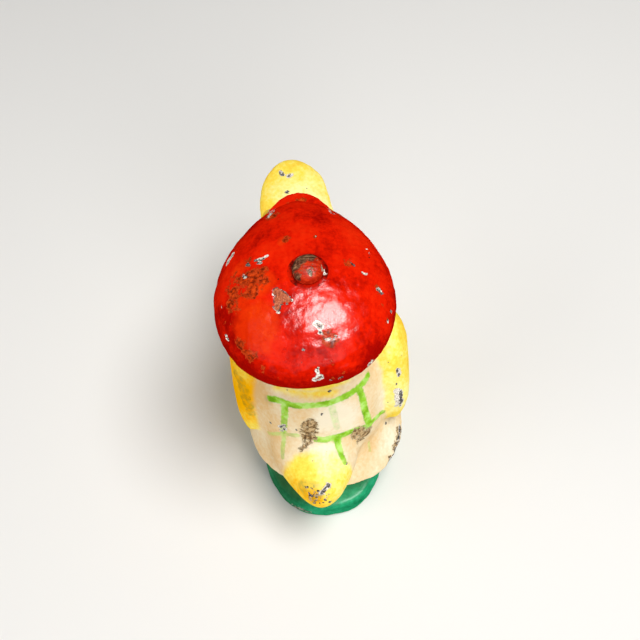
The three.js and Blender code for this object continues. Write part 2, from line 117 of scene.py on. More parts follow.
# Drops loose inner shells that the gaps between the castings leave behind
def keepOutside(piece):
    openMesh(piece)
    bpy.ops.mesh.separate(type="LOOSE")
    closeMesh()
    shells = sorted(bpy.context.selected_objects, key=lambda shell: len(shell.data.vertices))
    outer = shells[-1]
    if len(shells) > 1:
        if outer is not piece:
            piece.data, outer.data = outer.data, piece.data
        pickOnly(*[shell for shell in shells if shell is not piece])
        bpy.ops.object.delete()
    pickOnly(piece)


def readOut(items, key, width=1, kind=np.int32):
    values = np.empty(len(items) * width, kind)
    items.foreach_get(key, values)
    return values.reshape(-1, width) if width > 1 else values


def pointsOf(piece):
    return readOut(piece.data.vertices, "co", 3, np.float32) / mm


def movePoints(piece, points):
    piece.data.vertices.foreach_set("co", np.ascontiguousarray(points * mm, np.float32).ravel())
    piece.data.update()


def normalsOf(piece):
    return readOut(piece.data.vertex_normals, "vector", 3, np.float32)


def edgesOf(piece):
    return readOut(piece.data.edges, "vertices", 2)


def writeField(piece, name, values):
    field = piece.data.attributes.get(name)
    if field is None:
        field = piece.data.attributes.new(name, "FLOAT", "POINT")
    field.data.foreach_set("value", np.ascontiguousarray(values, np.float32))


# Each value drifts towards its neighbours' mean
def relaxed(values, edges, rounds):
    size = len(values)
    count = np.bincount(edges.ravel(), minlength=size).clip(1)
    columns = values.reshape(size, -1).astype(float).copy()
    for _ in range(rounds):
        for i in range(columns.shape[1]):
            column = columns[:, i]
            total = np.bincount(edges[:, 0], column[edges[:, 1]], size)
            total += np.bincount(edges[:, 1], column[edges[:, 0]], size)
            columns[:, i] = (column + total / count) / 2
    return columns.reshape(values.shape)


# Melts the places in the zones into what is round them
def soften(piece, zones, rounds):
    points = pointsOf(piece)
    share = zonesAt(points, zones)[:, None]
    points += share * (relaxed(points, edgesOf(piece), round(rounds / coarser ** 2)) - points)
    movePoints(piece, points)


# How far each point stands out of its surroundings, below nought in a hollow
def reliefOf(piece, reach):
    points = pointsOf(piece)
    rounds = max(2, round((reach / (0.4 * coarser)) ** 2))
    drift = relaxed(points, edgesOf(piece), rounds) - points
    return -(drift * normalsOf(piece)).sum(axis=1)


# Distance to the nearest mark, a short bar from one point to another with a radius
def gapTo(points, marks, radius):
    gap = np.full(len(points), farOff)
    for mark in marks:
        start, end = np.array(mark[0]), np.array(mark[1])
        run = end - start
        along = np.clip((points - start) @ run / max(run @ run, 1e-6), 0, 1)
        away = np.linalg.norm(points - start - along[:, None] * run, axis=1)
        gap = np.minimum(gap, away - mark[radius])
    return gap


# The strongest of a few soft round zones, each a point, a radius and a strength
def zonesAt(points, zones):
    strength = np.zeros(len(points))
    for centre, radius, peak in zones:
        away = np.linalg.norm(points - np.array(centre), axis=1) / (radius * zoneReach)
        strength = np.maximum(strength, peak * np.clip(1 - away ** 2, 0, 1) ** zoneFall)
    return strength


# Small marks strewn over the places that a test picks, the same ones on each run
def strewn(piece, places, count, sizes, seed):
    chance = np.random.default_rng(seed)
    points = pointsOf(piece)[places]
    if not len(points):
        return ()
    marks = []
    for point in points[chance.integers(len(points), size=count)]:
        size = sizes[0] + (sizes[1] - sizes[0]) * chance.random() ** 2
        turn = chance.normal(size=3)
        turn *= size * chance.random() * 1.2 / np.linalg.norm(turn)
        marks.append((tuple(point), tuple(point + turn), size, size * 0.5))
    return tuple(marks)


# Flaked zones round strewn marks
def zonesOn(marks, radius, peak=0.8):
    return tuple((mark[0], radius, peak) for mark in marks)


def distanceTo(nodes, points):
    nearest = np.full(len(points), np.inf)
    places = points.tolist()
    for node in nodes:
        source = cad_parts[node].data
        corners = [tuple(vertex.co / mm) for vertex in source.vertices]
        tree = BVHTree.FromPolygons(corners, [face.vertices[:] for face in source.polygons])
        nearest = np.minimum(nearest, [tree.find_nearest(place)[3] for place in places])
    return nearest


def linear(value):
    channels = [int(value[i:i + 2], 16) / 255 for i in (1, 3, 5)]
    return [c / 12.92 if c <= 0.04045 else ((c + 0.055) / 1.055) ** 2.4 for c in channels] + [1.0]


# Adds a shader node, with its settings, the stops of a colour ramp, and its inputs. An input is a value,
# a socket, or a node whose first output it takes.
def addNode(tree, kind, inputs=None, stops=(), **settings):
    node = tree.nodes.new("ShaderNode" + kind)
    for key, value in settings.items():
        setattr(node, key, value)
    for i, (place, value) in enumerate(stops):
        element = node.color_ramp.elements[i] if i < 2 else node.color_ramp.elements.new(place)
        element.position = place
        element.color = linear(value)
    for socket, value in (inputs or {}).items():
        if isinstance(value, bpy.types.Node):
            value = value.outputs[0]
        if isinstance(value, bpy.types.NodeSocket):
            tree.links.new(value, node.inputs[socket])
        else:
            node.inputs[socket].default_value = value
    return node


# A new material, its tree, and the place on the piece in millimetres
def startMaterial(name):
    material = bpy.data.materials.new(name)
    material.use_nodes = True
    tree = material.node_tree
    tree.nodes.clear()
    place = addNode(tree, "TexCoord").outputs["Object"]
    return material, tree, addNode(tree, "VectorMath", {0: place, "Scale": 1 / mm}, operation="SCALE")


# One round soft lamp overhead, two weaker ones behind and at the side, and pale air that is dark overhead
studio = {
    "cameraPlace": (-1.0, 117.24, 270.6), "elevation": 62.0, "roll": -4.5, "lens": 54.11,
    "middle": (0.0, 8.0, 60.0),
    # where each lamp stands from the middle, how far off, its size in metres, and its watts
    "key": ((-0.28, 0.12, 0.95), 600.0, 0.3, 3.7),
    "fill": ((-0.25, 0.85, 0.46), 650.0, 0.4, 1.3),
    "side": ((0.9, 0.25, 0.45), 650.0, 0.6, 1.6),
    "horizon": "#DCDDDF", "zenith": "#1E2022", "airStrength": 0.6, "floor": "#E9E7E3",
    "floorSize": 4.0,   # metres
}


def makeStudio():
    camera = bpy.data.objects.new("camera", bpy.data.cameras.new("camera"))
    bpy.context.scene.collection.objects.link(camera)
    camera.matrix_world = (
        Matrix.Translation([value * mm for value in studio["cameraPlace"]])
        @ Matrix.Rotation(math.pi, 4, "Z")
        @ Matrix.Rotation(math.radians(90 - studio["elevation"]), 4, "X")
        @ Matrix.Rotation(math.radians(studio["roll"]), 4, "Z")
    )
    camera.data.lens = studio["lens"]
    camera.data.sensor_width = 36
    camera.data.clip_start = 0.01
    bpy.context.scene.camera = camera
    for name in ("key", "fill", "side"):
        towards, away, size, watts = studio[name]
        lamp = bpy.data.lights.new(name, "AREA")
        lamp.shape = "DISK"
        lamp.size = size
        lamp.energy = watts
        stand = bpy.data.objects.new(name, lamp)
        bpy.context.scene.collection.objects.link(stand)
        towards = np.array(towards) / np.linalg.norm(towards)
        place = (np.array(studio["middle"]) + towards * away) * mm
        side = np.cross((0, 1, 0) if name == "key" else (0, 0, 1), towards)
        side /= np.linalg.norm(side)
        turn = Matrix((side, np.cross(towards, side), towards)).transposed()
        stand.matrix_world = Matrix.Translation(place) @ turn.to_4x4()
        stand.visible_glossy = name == "key"   # only the lamp overhead shows in the gloss
    world = bpy.data.worlds.new("studio air")
    bpy.context.scene.world = world
    world.use_nodes = True
    tree = world.node_tree
    tree.nodes.clear()
    heading = addNode(tree, "SeparateXYZ", {0: addNode(tree, "TexCoord").outputs["Generated"]})
    air = addNode(tree, "ValToRGB", {0: heading.outputs["Z"]},
                  stops=((0.15, studio["horizon"]), (0.6, studio["zenith"])))
    glow = addNode(tree, "Background", {"Color": air, "Strength": studio["airStrength"]})
    addNode(tree, "OutputWorld", {"Surface": glow})
    bpy.context.scene.view_settings.view_transform = "Standard"
    bpy.ops.mesh.primitive_plane_add(size=studio["floorSize"], location=(0, 0, 0))
    floor = bpy.context.object
    floor.name = "floor"
    # Matt studio board: pale, even, no gloss
    board = bpy.data.materials.new("matt studio board")
    board.use_nodes = True
    shader = board.node_tree.nodes["Principled BSDF"]
    shader.inputs["Base Color"].default_value = linear(studio["floor"])
    shader.inputs["Roughness"].default_value = 0.9
    floor.data.materials.append(board)
    print("studio ready")


makeStudio()


# Oil enamel brushed by hand over a white ground on sand cast iron. It shows as a soft, uneven gloss
# with slow changes of tone, over a lumpy surface. Where it is knocked, a white rim of ground
# shows round brown black iron, and where it is tired it flakes off in freckled patches.
def enamel(name, coat):
    material, tree, spot = startMaterial(name)
    fields = {}
    for field in ("tone", "second", "strokeGap", "strokeTone", "relief", "flake", "primer", "iron"):
        fields[field] = addNode(tree, "Attribute", attribute_name=field).outputs["Fac"]

    # slow tones of the brushed paint, pushed lighter or darker by the tone field, which carries painted
    # light and shade; each scale is one over a size in millimetres
    slow = addNode(tree, "TexNoise", {"Vector": spot, "Scale": 1 / coat["toneSize"], "Detail": 3.0})
    drawn = addNode(tree, "VectorMath", {0: spot, 1: coat["brush"]}, operation="MULTIPLY")
    streak = addNode(tree, "TexNoise", {"Vector": drawn, "Scale": 1.0, "Detail": 2.0})
    fine = addNode(tree, "TexNoise", {
        "Vector": spot, "Scale": 1 / coat["fineSize"], "Detail": 4.0, "Roughness": 0.55})
    finer = addNode(tree, "TexNoise", {"Vector": spot, "Scale": 1 / coat["rustSize"], "Detail": 3.0})
    even = addNode(tree, "Mix", {0: coat["streaks"], 2: slow, 3: streak})
    calm = addNode(tree, "Mix", {0: coat["contrast"], 2: 0.5, 3: even})
    grainy = addNode(tree, "Mix", {0: coat["grainy"], 2: calm, 3: fine})
    both = addNode(tree, "Math", {0: fields["tone"], 1: coat["tonePush"], 2: grainy},
                   operation="MULTIPLY_ADD")
    spread = (0.36, 0.5, 0.64)
    paint = addNode(tree, "ValToRGB", {0: both}, stops=zip(spread, coat["tones"]))

    # what lies over the first paint, from the lowest layer up: how much of it, and its colour
    layers = []

    # a second paint where its field is above nought, with a soft and wavering edge
    wander = addNode(tree, "TexNoise", {"Vector": spot, "Scale": 1 / coat["wanderSize"], "Detail": 3.0})
    waver = addNode(tree, "Math", {0: wander, 1: coat["wander"], 2: -0.5 * coat["wander"]},
                    operation="MULTIPLY_ADD")
    lap = addNode(tree, "Math", {0: fields["second"], 1: waver}, operation="ADD")
    over = addNode(tree, "MapRange", {0: lap, 1: -coat["lapSoft"], 2: coat["lapSoft"]},
                   interpolation_type="SMOOTHSTEP")
    second = coat.get("secondTones", coat["tones"])
    layers.append((over, addNode(tree, "ValToRGB", {0: both}, stops=zip(spread, second))))

    # green brush strokes of the check, dragged dry in places
    raised = []
    if "strokes" in coat:
        ragged = addNode(tree, "Math", {0: fine, 1: 0.9, 2: -0.45}, operation="MULTIPLY_ADD")
        border = addNode(tree, "Math", {0: fields["strokeGap"], 1: ragged}, operation="ADD")
        line = addNode(tree, "MapRange", {0: border, 1: 0.18, 2: -0.18})
        # thin paint lets more of the cream show where the noise is high
        thin = addNode(tree, "Math", {0: fine, 1: 1.0, 2: -0.38}, operation="MULTIPLY_ADD")
        body = addNode(tree, "Math", {0: fields["strokeTone"], 1: 0.95, 2: thin},
                       operation="MULTIPLY_ADD", use_clamp=True)
        solid = addNode(tree, "Math", {0: line, 1: body}, operation="MULTIPLY")
        green = addNode(tree, "ValToRGB", {0: wander}, stops=zip((0.36, 0.5, 0.62), coat["strokes"]))
        layers.append((solid, green))
        raised.append((solid, 0.05))

    # pin holes with dirt in them
    cells = addNode(tree, "TexVoronoi", {"Vector": spot, "Scale": 1 / coat["speckSpacing"]})
    split = addNode(tree, "SeparateColor", {0: cells.outputs["Color"]})
    size = addNode(tree, "MapRange", {
        0: split.outputs["Red"], 1: 1 - coat["speckShare"], 2: 1.0, 3: 0.0, 4: coat["speckSize"]})
    inside = addNode(tree, "Math", {0: size, 1: cells.outputs["Distance"]}, operation="SUBTRACT")
    speck = addNode(tree, "MapRange", {0: inside, 1: 0.0, 2: 0.03})
    layers.append((speck, linear(coat["speck"])))

    # dirt in the hollows, with painted shade where the relief field is lowered for it, and paint rubbed
    # thin on the edges
    hollow = addNode(tree, "MapRange", {0: fields["relief"], 1: -0.05, 2: -0.4, 3: 0.0, 4: coat["dirt"]})
    blotches = addNode(tree, "Math", {0: wander, 1: fine}, operation="ADD")
    uneven = addNode(tree, "MapRange", {0: blotches, 1: 0.86, 2: 1.14, 3: 0.25})
    dirtAndShadeShare = addNode(tree, "Math", {0: hollow, 1: uneven}, operation="MULTIPLY", use_clamp=True)
    layers.append((dirtAndShadeShare, linear(coat["dirtAndShade"])))
    proud = addNode(tree, "Math", {0: fine, 1: 0.5, 2: fields["relief"]}, operation="MULTIPLY_ADD")
    rubbed = addNode(tree, "MapRange", {0: proud, 1: 0.42, 2: 0.62, 3: 0.0, 4: coat["rubbed"]})
    layers.append((rubbed, linear(coat["rub"])))

    # tired paint: patches where the top coat has flaked off the old one, each with a lifted rim
    crazed = addNode(tree, "TexNoise", {
        "Vector": spot, "Scale": 1 / coat["flakeSize"], "Detail": 6.0, "Roughness": 0.68,
        "Distortion": 0.4})
    worn = addNode(tree, "Math", {0: fields["flake"], 1: coat["flakeReach"], 2: crazed},
                   operation="MULTIPLY_ADD")
    rimStart, flakeStart, flakeFull = coat["flakeEdges"]
    rim = addNode(tree, "MapRange", {0: worn, 1: rimStart, 2: flakeStart})
    flaked = addNode(tree, "MapRange", {0: worn, 1: flakeStart, 2: flakeFull})
    layers.append((rim, linear(coat["rim"])))
    layers.append((flaked, addNode(tree, "ValToRGB", {0: fine},
                                   stops=zip((0.4, 0.5, 0.6), coat["underTones"]))))

    # chips: the white ground round bare iron, both broken along flat facets of the brittle paint
    shards = addNode(tree, "TexVoronoi", {"Vector": spot, "Scale": 1 / coat["shardSize"]})
    facets = addNode(tree, "SeparateColor", {0: shards.outputs["Color"]})
    breaks = []
    for i, (gap, jitter) in enumerate(zip(("primer", "iron"), coat["jitter"])):
        facet = addNode(tree, "Math", {0: facets.outputs[i], 1: 0.5, 2: -0.25}, operation="MULTIPLY_ADD")
        shift = addNode(tree, "Math", {0: fine, 1: jitter, 2: -0.5 * jitter}, operation="MULTIPLY_ADD")
        shifts = addNode(tree, "Math", {0: facet, 1: shift}, operation="ADD")
        border = addNode(tree, "Math", {0: fields[gap], 1: shifts}, operation="ADD")
        breaks.append(addNode(tree, "MapRange", {0: border, 1: coat["chipEdge"], 2: -coat["chipEdge"]}))
    ground, bare = breaks
    layers.append((ground, addNode(tree, "ValToRGB", {0: finer},
                                   stops=zip((0.4, 0.5, 0.64), coat["groundTones"]))))
    metal = addNode(tree, "ValToRGB", {0: finer}, stops=zip((0.4, 0.5, 0.62), coat["ironTones"]))
    rust = addNode(tree, "ValToRGB", {0: finer}, stops=zip((0.34, 0.5, 0.66), coat["rustTones"]))
    # the wide ones are rusty
    depth = addNode(tree, "MapRange", {
        0: fields["iron"], 1: -coat["rustDepth"], 2: -coat["rustDepth"] - 0.15})
    layers.append((bare, addNode(tree, "Mix", {0: depth, 6: metal, 7: rust}, data_type="RGBA").outputs[2]))
    colour = paint
    for share, above in layers:
        colour = addNode(tree, "Mix", {0: share, 6: colour, 7: above}, data_type="RGBA").outputs[2]

    # gloss: even on the paint, dull on ground, rust and flaked places
    gloss = addNode(tree, "MapRange", {
        0: even, 1: 0.3, 2: 0.7, 3: coat["roughness"] - 0.05, 4: coat["roughness"] + 0.07})
    dull = addNode(tree, "Math", {0: flaked, 1: 0.45, 2: ground}, operation="MULTIPLY_ADD", use_clamp=True)
    duller = addNode(tree, "Math", {0: dull, 1: bare}, operation="MAXIMUM")
    roughness = addNode(tree, "Mix", {0: duller, 2: gloss, 3: coat["bareRoughness"]})

    # height in millimetres: sand cast lumps, brush ridges, lifted rims, and steps down into the chips
    lumps = addNode(tree, "TexNoise", {
        "Vector": spot, "Scale": 1 / coat["lumpSize"], "Detail": 2.0, "Roughness": 0.45})
    raised += [(lumps, coat["lump"]), (fine, coat["peel"]), (streak, coat["ridge"])]
    raised += zip((speck, rim, flaked, ground, bare), coat["steps"])
    height = 0.0
    for source, amount in raised:
        height = addNode(tree, "Math", {0: source, 1: amount, 2: height}, operation="MULTIPLY_ADD")
    bump = addNode(tree, "Bump", {"Height": height, "Distance": mm, "Strength": 1.0})

    # the film goes flat where one looks along it
    facing = addNode(tree, "LayerWeight", {"Blend": 0.5}).outputs["Facing"]
    fadeStart, fadeEnd = coat["fade"]
    shine = addNode(tree, "MapRange", {0: facing, 1: fadeStart, 2: fadeEnd, 3: coat["shine"], 4: 0.0})
    varnish = addNode(tree, "MapRange", {0: facing, 1: fadeStart, 2: fadeEnd, 3: coat["varnish"], 4: 0.0})
    shader = addNode(tree, "BsdfPrincipled", {
        "Base Color": colour, "Roughness": roughness, "Normal": bump, "Specular IOR Level": shine,
        "Coat Weight": varnish, "Coat Roughness": coat["varnishRoughness"]})
    addNode(tree, "OutputMaterial", {"Surface": shader})
    return material


# Values that all the enamels share
plainCoat = {
    # the paint: how mottled it is, and how wavering the edge of a second paint
    "toneSize": 7.0, "fineSize": 0.9, "contrast": 0.8, "tonePush": 0.16, "grainy": 0.25,
    "brush": (0.9, 0.35, 0.6), "streaks": 0.2, "wanderSize": 2.4, "wander": 1.6, "lapSoft": 0.5,
    # wear: pin holes, dirt, rubbed edges, flaked places, chips
    "speckSpacing": 1.9, "speckShare": 0.2, "speckSize": 0.13, "dirt": 0.9, "rubbed": 0.0, "rub": "#FFFFFF",
    "flakeSize": 2.2, "flakeReach": 0.42, "flakeEdges": (0.76, 0.785, 0.85),
    "shardSize": 0.75, "jitter": (0.8, 0.65), "chipEdge": 0.05, "rustDepth": 0.4, "rustSize": 0.3,
    "groundTones": ("#B4A898", "#E2DACC", "#F8F4EA"), "ironTones": ("#241F1B", "#57524D", "#A5A29E"),
    "rustTones": ("#8A5E3A", "#B08058", "#CDA078"),
    # the surface: lumps of the casting and ridges of the paint, in millimetres
    "lumpSize": 1.7, "lump": 0.13, "peel": 0.04, "ridge": 0.03,
    # height of a pin hole, a lifted rim, a flaked place, the white ground and the bare iron
    "steps": (-0.06, 0.08, -0.16, -0.1, -0.08),
    # gloss, and between which facings it fades to nothing
    "roughness": 0.4, "bareRoughness": 0.62, "shine": 0.45, "varnish": 0.15, "varnishRoughness": 0.28,
    "fade": (0.04, 0.15),
}


def finish(piece, nodes, material):
    piece.data.materials.clear()
    piece.data.materials.append(material)
    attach(piece, "root")
    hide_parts(*nodes)
    print(piece.name, len(piece.data.polygons), "faces")


# Writes the fields that the paint reads: relief, lowered by dirt and painted shade, chips, flaked zones, a
# second paint, and tones of painted light and shade
def wear(piece, marks=(), zones=(), second=-farOff, tone=0.0, dirtAndShade=0.0, reach=1.6):
    points = pointsOf(piece)
    writeField(piece, "relief", reliefOf(piece, reach) - dirtAndShade)
    writeField(piece, "primer", gapTo(points, marks, 2))
    writeField(piece, "iron", gapTo(points, marks, 3))
    writeField(piece, "flake", zonesAt(points, zones))
    writeField(piece, "second", np.broadcast_to(second, len(points)))
    writeField(piece, "tone", np.broadcast_to(tone, len(points)))
    dent(piece, marks)


# Presses the bigger chips into the surface, as deep as the paint is thick
def dent(piece, marks):
    gap = gapTo(pointsOf(piece), marks, 3)
    group = piece.vertex_groups.new(name="chips")
    weight = np.clip(0.5 - gap / 0.5, 0, 1)
    for index in np.nonzero(weight)[0].tolist():
        group.add([index], float(weight[index]), "REPLACE")
    if weight.any():
        modify(piece, "DISPLACE", strength=-paintDepth * mm, mid_level=0, vertex_group="chips")
    piece.vertex_groups.clear()


# The cap: one broad dome, and a short visor under its front
cap = {
    "form": {"grain": 0.28, "fillet": 0, "rounds": 50, "lumps": ((5.5, 0.4), (2.4, 0.2)), "sunk": 0.5},
    "visorForm": {"grain": 0.25, "fillet": 0, "rounds": 14, "lumps": ((3.0, 0.25),), "sunk": 0.5},
    "coat": {
        "tones": ("#9E0802", "#D81A03", "#E42808"), "secondTones": ("#CE2604", "#DA3006", "#E6440E"),
        "wanderSize": 3.0, "wander": 1.4, "lapSoft": 0.7, "rub": "#EE5A34", "rubbed": 0.1, "rim": "#DC4A20",
        "speck": "#5A160C", "dirtAndShade": "#3A0806", "underTones": ("#6E1E0A", "#B4320A", "#D24616"),
        "rustTones": ("#86402A", "#B65A38", "#CE7C54"), "rustDepth": 0.1, "flakeReach": 0.38,
        "roughness": 0.26, "lump": 0.17, "peel": 0.11, "shine": 0.6, "varnish": 0.35,
        "varnishRoughness": 0.16,
    },
    # from, to, radius of the white ground, radius of the bare iron; one below nought hardly shows
    "chips": (
        ((19.4, -1.2, 79.8), (18.2, -3.1, 80.1), 0.65, 0.16),
        ((12.6, 1.9, 84.8), (11.2, 2.2, 85.3), 0.43, 0.2),
        ((11.2, 2.2, 85.3), (9.9, 1.5, 85.6), 0.34, 0.11),
        ((12.0, 2.7, 85.1), (11.3, 3.1, 85.4), 0.27, 0.14),
        ((14.4, 2.4, 84.2), (14.0, 2.9, 84.5), 0.34, 0.23),
        ((15.6, 5.4, 84.0), (14.9, 5.7, 84.4), 0.29, 0.09),
        ((9.2, -15.5, 78.1), (8.1, -16.1, 78.1), 0.53, 0.22),
        ((-4.7, -14.7, 79.0), (-5.4, -14.6, 78.7), 0.26, -0.1),
        ((-5.5, -13.3, 80.0), (-6.2, -12.2, 80.3), 0.36, 0.05),
        ((8.7, -13.7, 80.3), (9.2, -12.0, 81.1), 0.45, 0.12),
        ((8.0, -14.4, 80.1), (8.6, -14.1, 80.1), 0.36, 0.07),
        ((-1.1, -2.9, 85.7), (-1.5, -2.6, 85.7), 0.11, 0.18),
        ((-2.6, 7.1, 86.6), (-2.9, 7.9, 86.6), 0.42, 0.09),
        ((-13.1, -0.6, 81.7), (-13.5, 0.8, 81.7), 0.23, 0.02),
        ((-14.6, 10.2, 81.9), (-15.4, 10.8, 81.0), 0.36, 0.23),
        ((-0.2, 19.3, 84.7), (-1.2, 19.9, 84.5), 0.79, 0.28),
        ((-0.8, 21.0, 84.0), (-1.4, 21.4, 83.7), 0.39, 0.13),
        ((-2.0, 22.6, 83.1), (-4.2, 22.0, 83.0), 0.24, 0.17),
        ((20.5, 17.0, 78.3), (20.1, 18.0, 78.3), 0.41, 0.18),
        ((21.0, 10.5, 80.1), (20.9, 10.8, 80.1), 0.16, 0.14),
        ((0.3, 27.5, 79.3), (0.4, 28.1, 78.3), 0.39, 0.15),
        ((1.0, 29.0, 76.6), (-0.1, 28.8, 77.3), 0.75, 0.33),
        ((0.4, 28.4, 77.9), (0.2, 28.9, 76.8), 0.48, 0.11),
        ((-2.2, 28.9, 75.6), (-2.4, 28.9, 75.3), 0.04, 0.33),
        ((-4.4, 28.5, 75.5), (-4.7, 28.4, 75.5), 0.04, 0.31),
        ((-11.3, 25.2, 74.3), (-11.9, 24.7, 74.7), 0.5, 0.27),
        ((-17.2, 13.9, 78.2), (-17.2, 14.2, 78.1), 0.23, 0.11),
        ((-16.3, 16.5, 78.4), (-16.3, 16.8, 78.2), 0.23, 0.14),
        ((-11.3, 6.7, 84.0), (-12.2, 6.9, 83.5), 0.2, 0.05),
        ((-9.2, 4.3, 84.7), (-9.6, 5.3, 84.7), 0.07, 0.2),
        ((3.2, 24.1, 82.4), (3.0, 24.2, 82.4), 0.11, 0.09),
        ((8.1, 11.2, 86.2), (6.1, 13.2, 86.2), 0.04, 1.02),
        ((7.2, 12.5, 86.2), (5.7, 13.6, 86.2), 0.04, 0.84),
        ((8.1, 12.8, 86.0), (8.2, 15.0, 85.7), 0.04, 0.79),
        ((7.2, 12.5, 86.2), (7.2, 13.6, 86.0), 0.04, 0.88),
        ((8.7, 11.2, 86.1), (8.6, 12.5, 86.0), 0.27, 0.04),
        ((8.8, 15.2, 85.5), (8.0, 15.8, 85.5), 0.33, 0.07),
        ((5.5, 13.3, 86.3), (4.9, 13.7, 86.2), 0.26, 0.04),
    ),
    # middle, radius, strength of each zone, here and below
    "flaked": (
        ((16.8, 7.1, 83.4), 3.8, 1.0), ((12.1, 6.2, 85.4), 2.7, 1.0), ((18.4, 11.5, 82.2), 2.9, 0.9),
        ((14.1, 9.4, 84.7), 2.7, 0.9), ((11.0, 8.6, 85.8), 1.8, 0.9), ((14.3, 1.7, 84.1), 1.8, 0.8),
        ((8.4, -12.2, 81.4), 2.1, 1.0), ((5.8, -10.1, 83.3), 1.4, 0.6), ((-8.4, 4.7, 85.0), 1.6, 0.9),
        ((-10.7, 7.8, 84.3), 1.3, 0.7), ((-14.8, 10.6, 81.7), 1.6, 0.8), ((-15.6, 14.3, 80.3), 1.6, 0.6),
        ((-16.0, 16.9, 78.5), 1.6, 0.7), ((-14.1, 20.0, 78.8), 1.3, 0.5), ((-2.9, 22.2, 83.1), 2.0, 1.0),
        ((-2.7, 26.5, 80.0), 1.3, 0.7), ((-3.3, 28.7, 75.6), 1.8, 0.7), ((17.2, 20.6, 80.0), 2.0, 0.8),
        ((15.0, 23.1, 79.6), 2.0, 0.9), ((12.6, 25.8, 78.3), 1.8, 0.7), ((8.8, 28.0, 77.5), 1.5, 0.5),
        ((19.7, 15.4, 80.2), 1.6, 0.7), ((5.2, -2.5, 85.8), 1.1, 1.0), ((-1.3, -2.5, 85.8), 0.7, 0.7),
        ((-9.4, 23.1, 80.4), 1.8, 0.3), ((-12.9, 21.1, 79.3), 1.6, 0.5), ((-5.2, 27.7, 77.5), 1.3, 0.5),
    ),
    "visorFlaked": (
        ((2.4, -24.1, 70.0), 1.0, 0.9), ((0.9, -24.2, 70.0), 1.2, 1.0), ((5.0, -23.9, 70.0), 1.0, 0.6),
        ((-2.9, -23.5, 70.0), 0.8, 0.6),
    ),
    "orange": (
        ((13.4, 17.7, 83.4), 5.3, 1.0), ((15.4, 12.6, 83.8), 3.1, 0.6), ((11.2, 8.5, 85.8), 3.1, 0.8),
        ((16.2, 2.6, 83.2), 2.3, 0.6), ((6.0, -2.1, 85.8), 1.4, 0.6), ((12.1, 22.0, 82.0), 2.6, 0.6),
    ),
    # painted shade: zones where the red is darker, on the lower rim behind and on the +X side away from the
    # lamp
    "paintedShade": (
        ((0.9, 29.0, 73.0), 9.0, 0.7), ((19.0, 20.0, 76.0), 8.0, 0.6), ((12.0, -12.0, 80.0), 7.0, 0.4),
    ),
    "tieAxis": (0.86, 7.0), "tieRadius": 3.95,   # the ring of dirt and painted shade round the button
    "paintedShadeHeight": 80.5,   # painted shade: the red is darker from here down to the rim
    "unseen": (-6.0, 79.0),   # the photo shows nothing that is both in front of this and below this
    # how many marks are strewn where the photo doesn't reach, their sizes, and the seed
    "frontChips": (16, (0.2, 0.8), 11), "frontFlaked": (5, (0.5, 0.6), 12),
    "visorChips": (6, (0.2, 0.5), 13),
}


def makeCap():
    redEnamel = enamel("red enamel over cast iron", plainCoat | cap["coat"])
    crown = copyOf(["cap_crown"], "enamelled_cap")
    recast(crown, cap["form"])
    points = pointsOf(crown)
    orange = zonesAt(points, cap["orange"]) * 2 - 1.0
    ring = np.linalg.norm(points[:, :2] - np.array(cap["tieAxis"]), axis=1) - cap["tieRadius"]
    dirtAndShade = 2.5 * np.exp(-(ring / 0.4) ** 2) * (points[:, 2] > 80)   # dirt and painted shade in a ring round the tied button
    rimShade = np.clip((cap["paintedShadeHeight"] - points[:, 2]) / 6, 0, 0.9)   # painted shade, darker towards the rim
    front = (points[:, 1] < cap["unseen"][0]) & (points[:, 2] < cap["unseen"][1])
    chips = cap["chips"] + strewn(crown, front, *cap["frontChips"])
    flaked = cap["flaked"] + zonesOn(strewn(crown, front, *cap["frontFlaked"]), 2.2)
    wear(crown, chips, flaked, orange, -np.maximum(rimShade, zonesAt(points, cap["paintedShade"])), dirtAndShade=dirtAndShade)
    finish(crown, ["cap_crown"], redEnamel)
    visor = copyOf(["cap_visor"], "enamelled_visor")
    recast(visor, cap["visorForm"])
    points = pointsOf(visor)
    edges = (reliefOf(visor, 1.0) > 0.08) & (points[:, 2] < 71)
    chips = strewn(visor, edges, *cap["visorChips"])
    dirtAndShade = 0.5 * np.exp(-distanceTo(["cap_crown"], points) / 0.5)   # painted shadow under the edge of the crown
    wear(visor, chips, cap["visorFlaked"], dirtAndShade=dirtAndShade)
    finish(visor, ["cap_visor"], redEnamel)


makeCap()


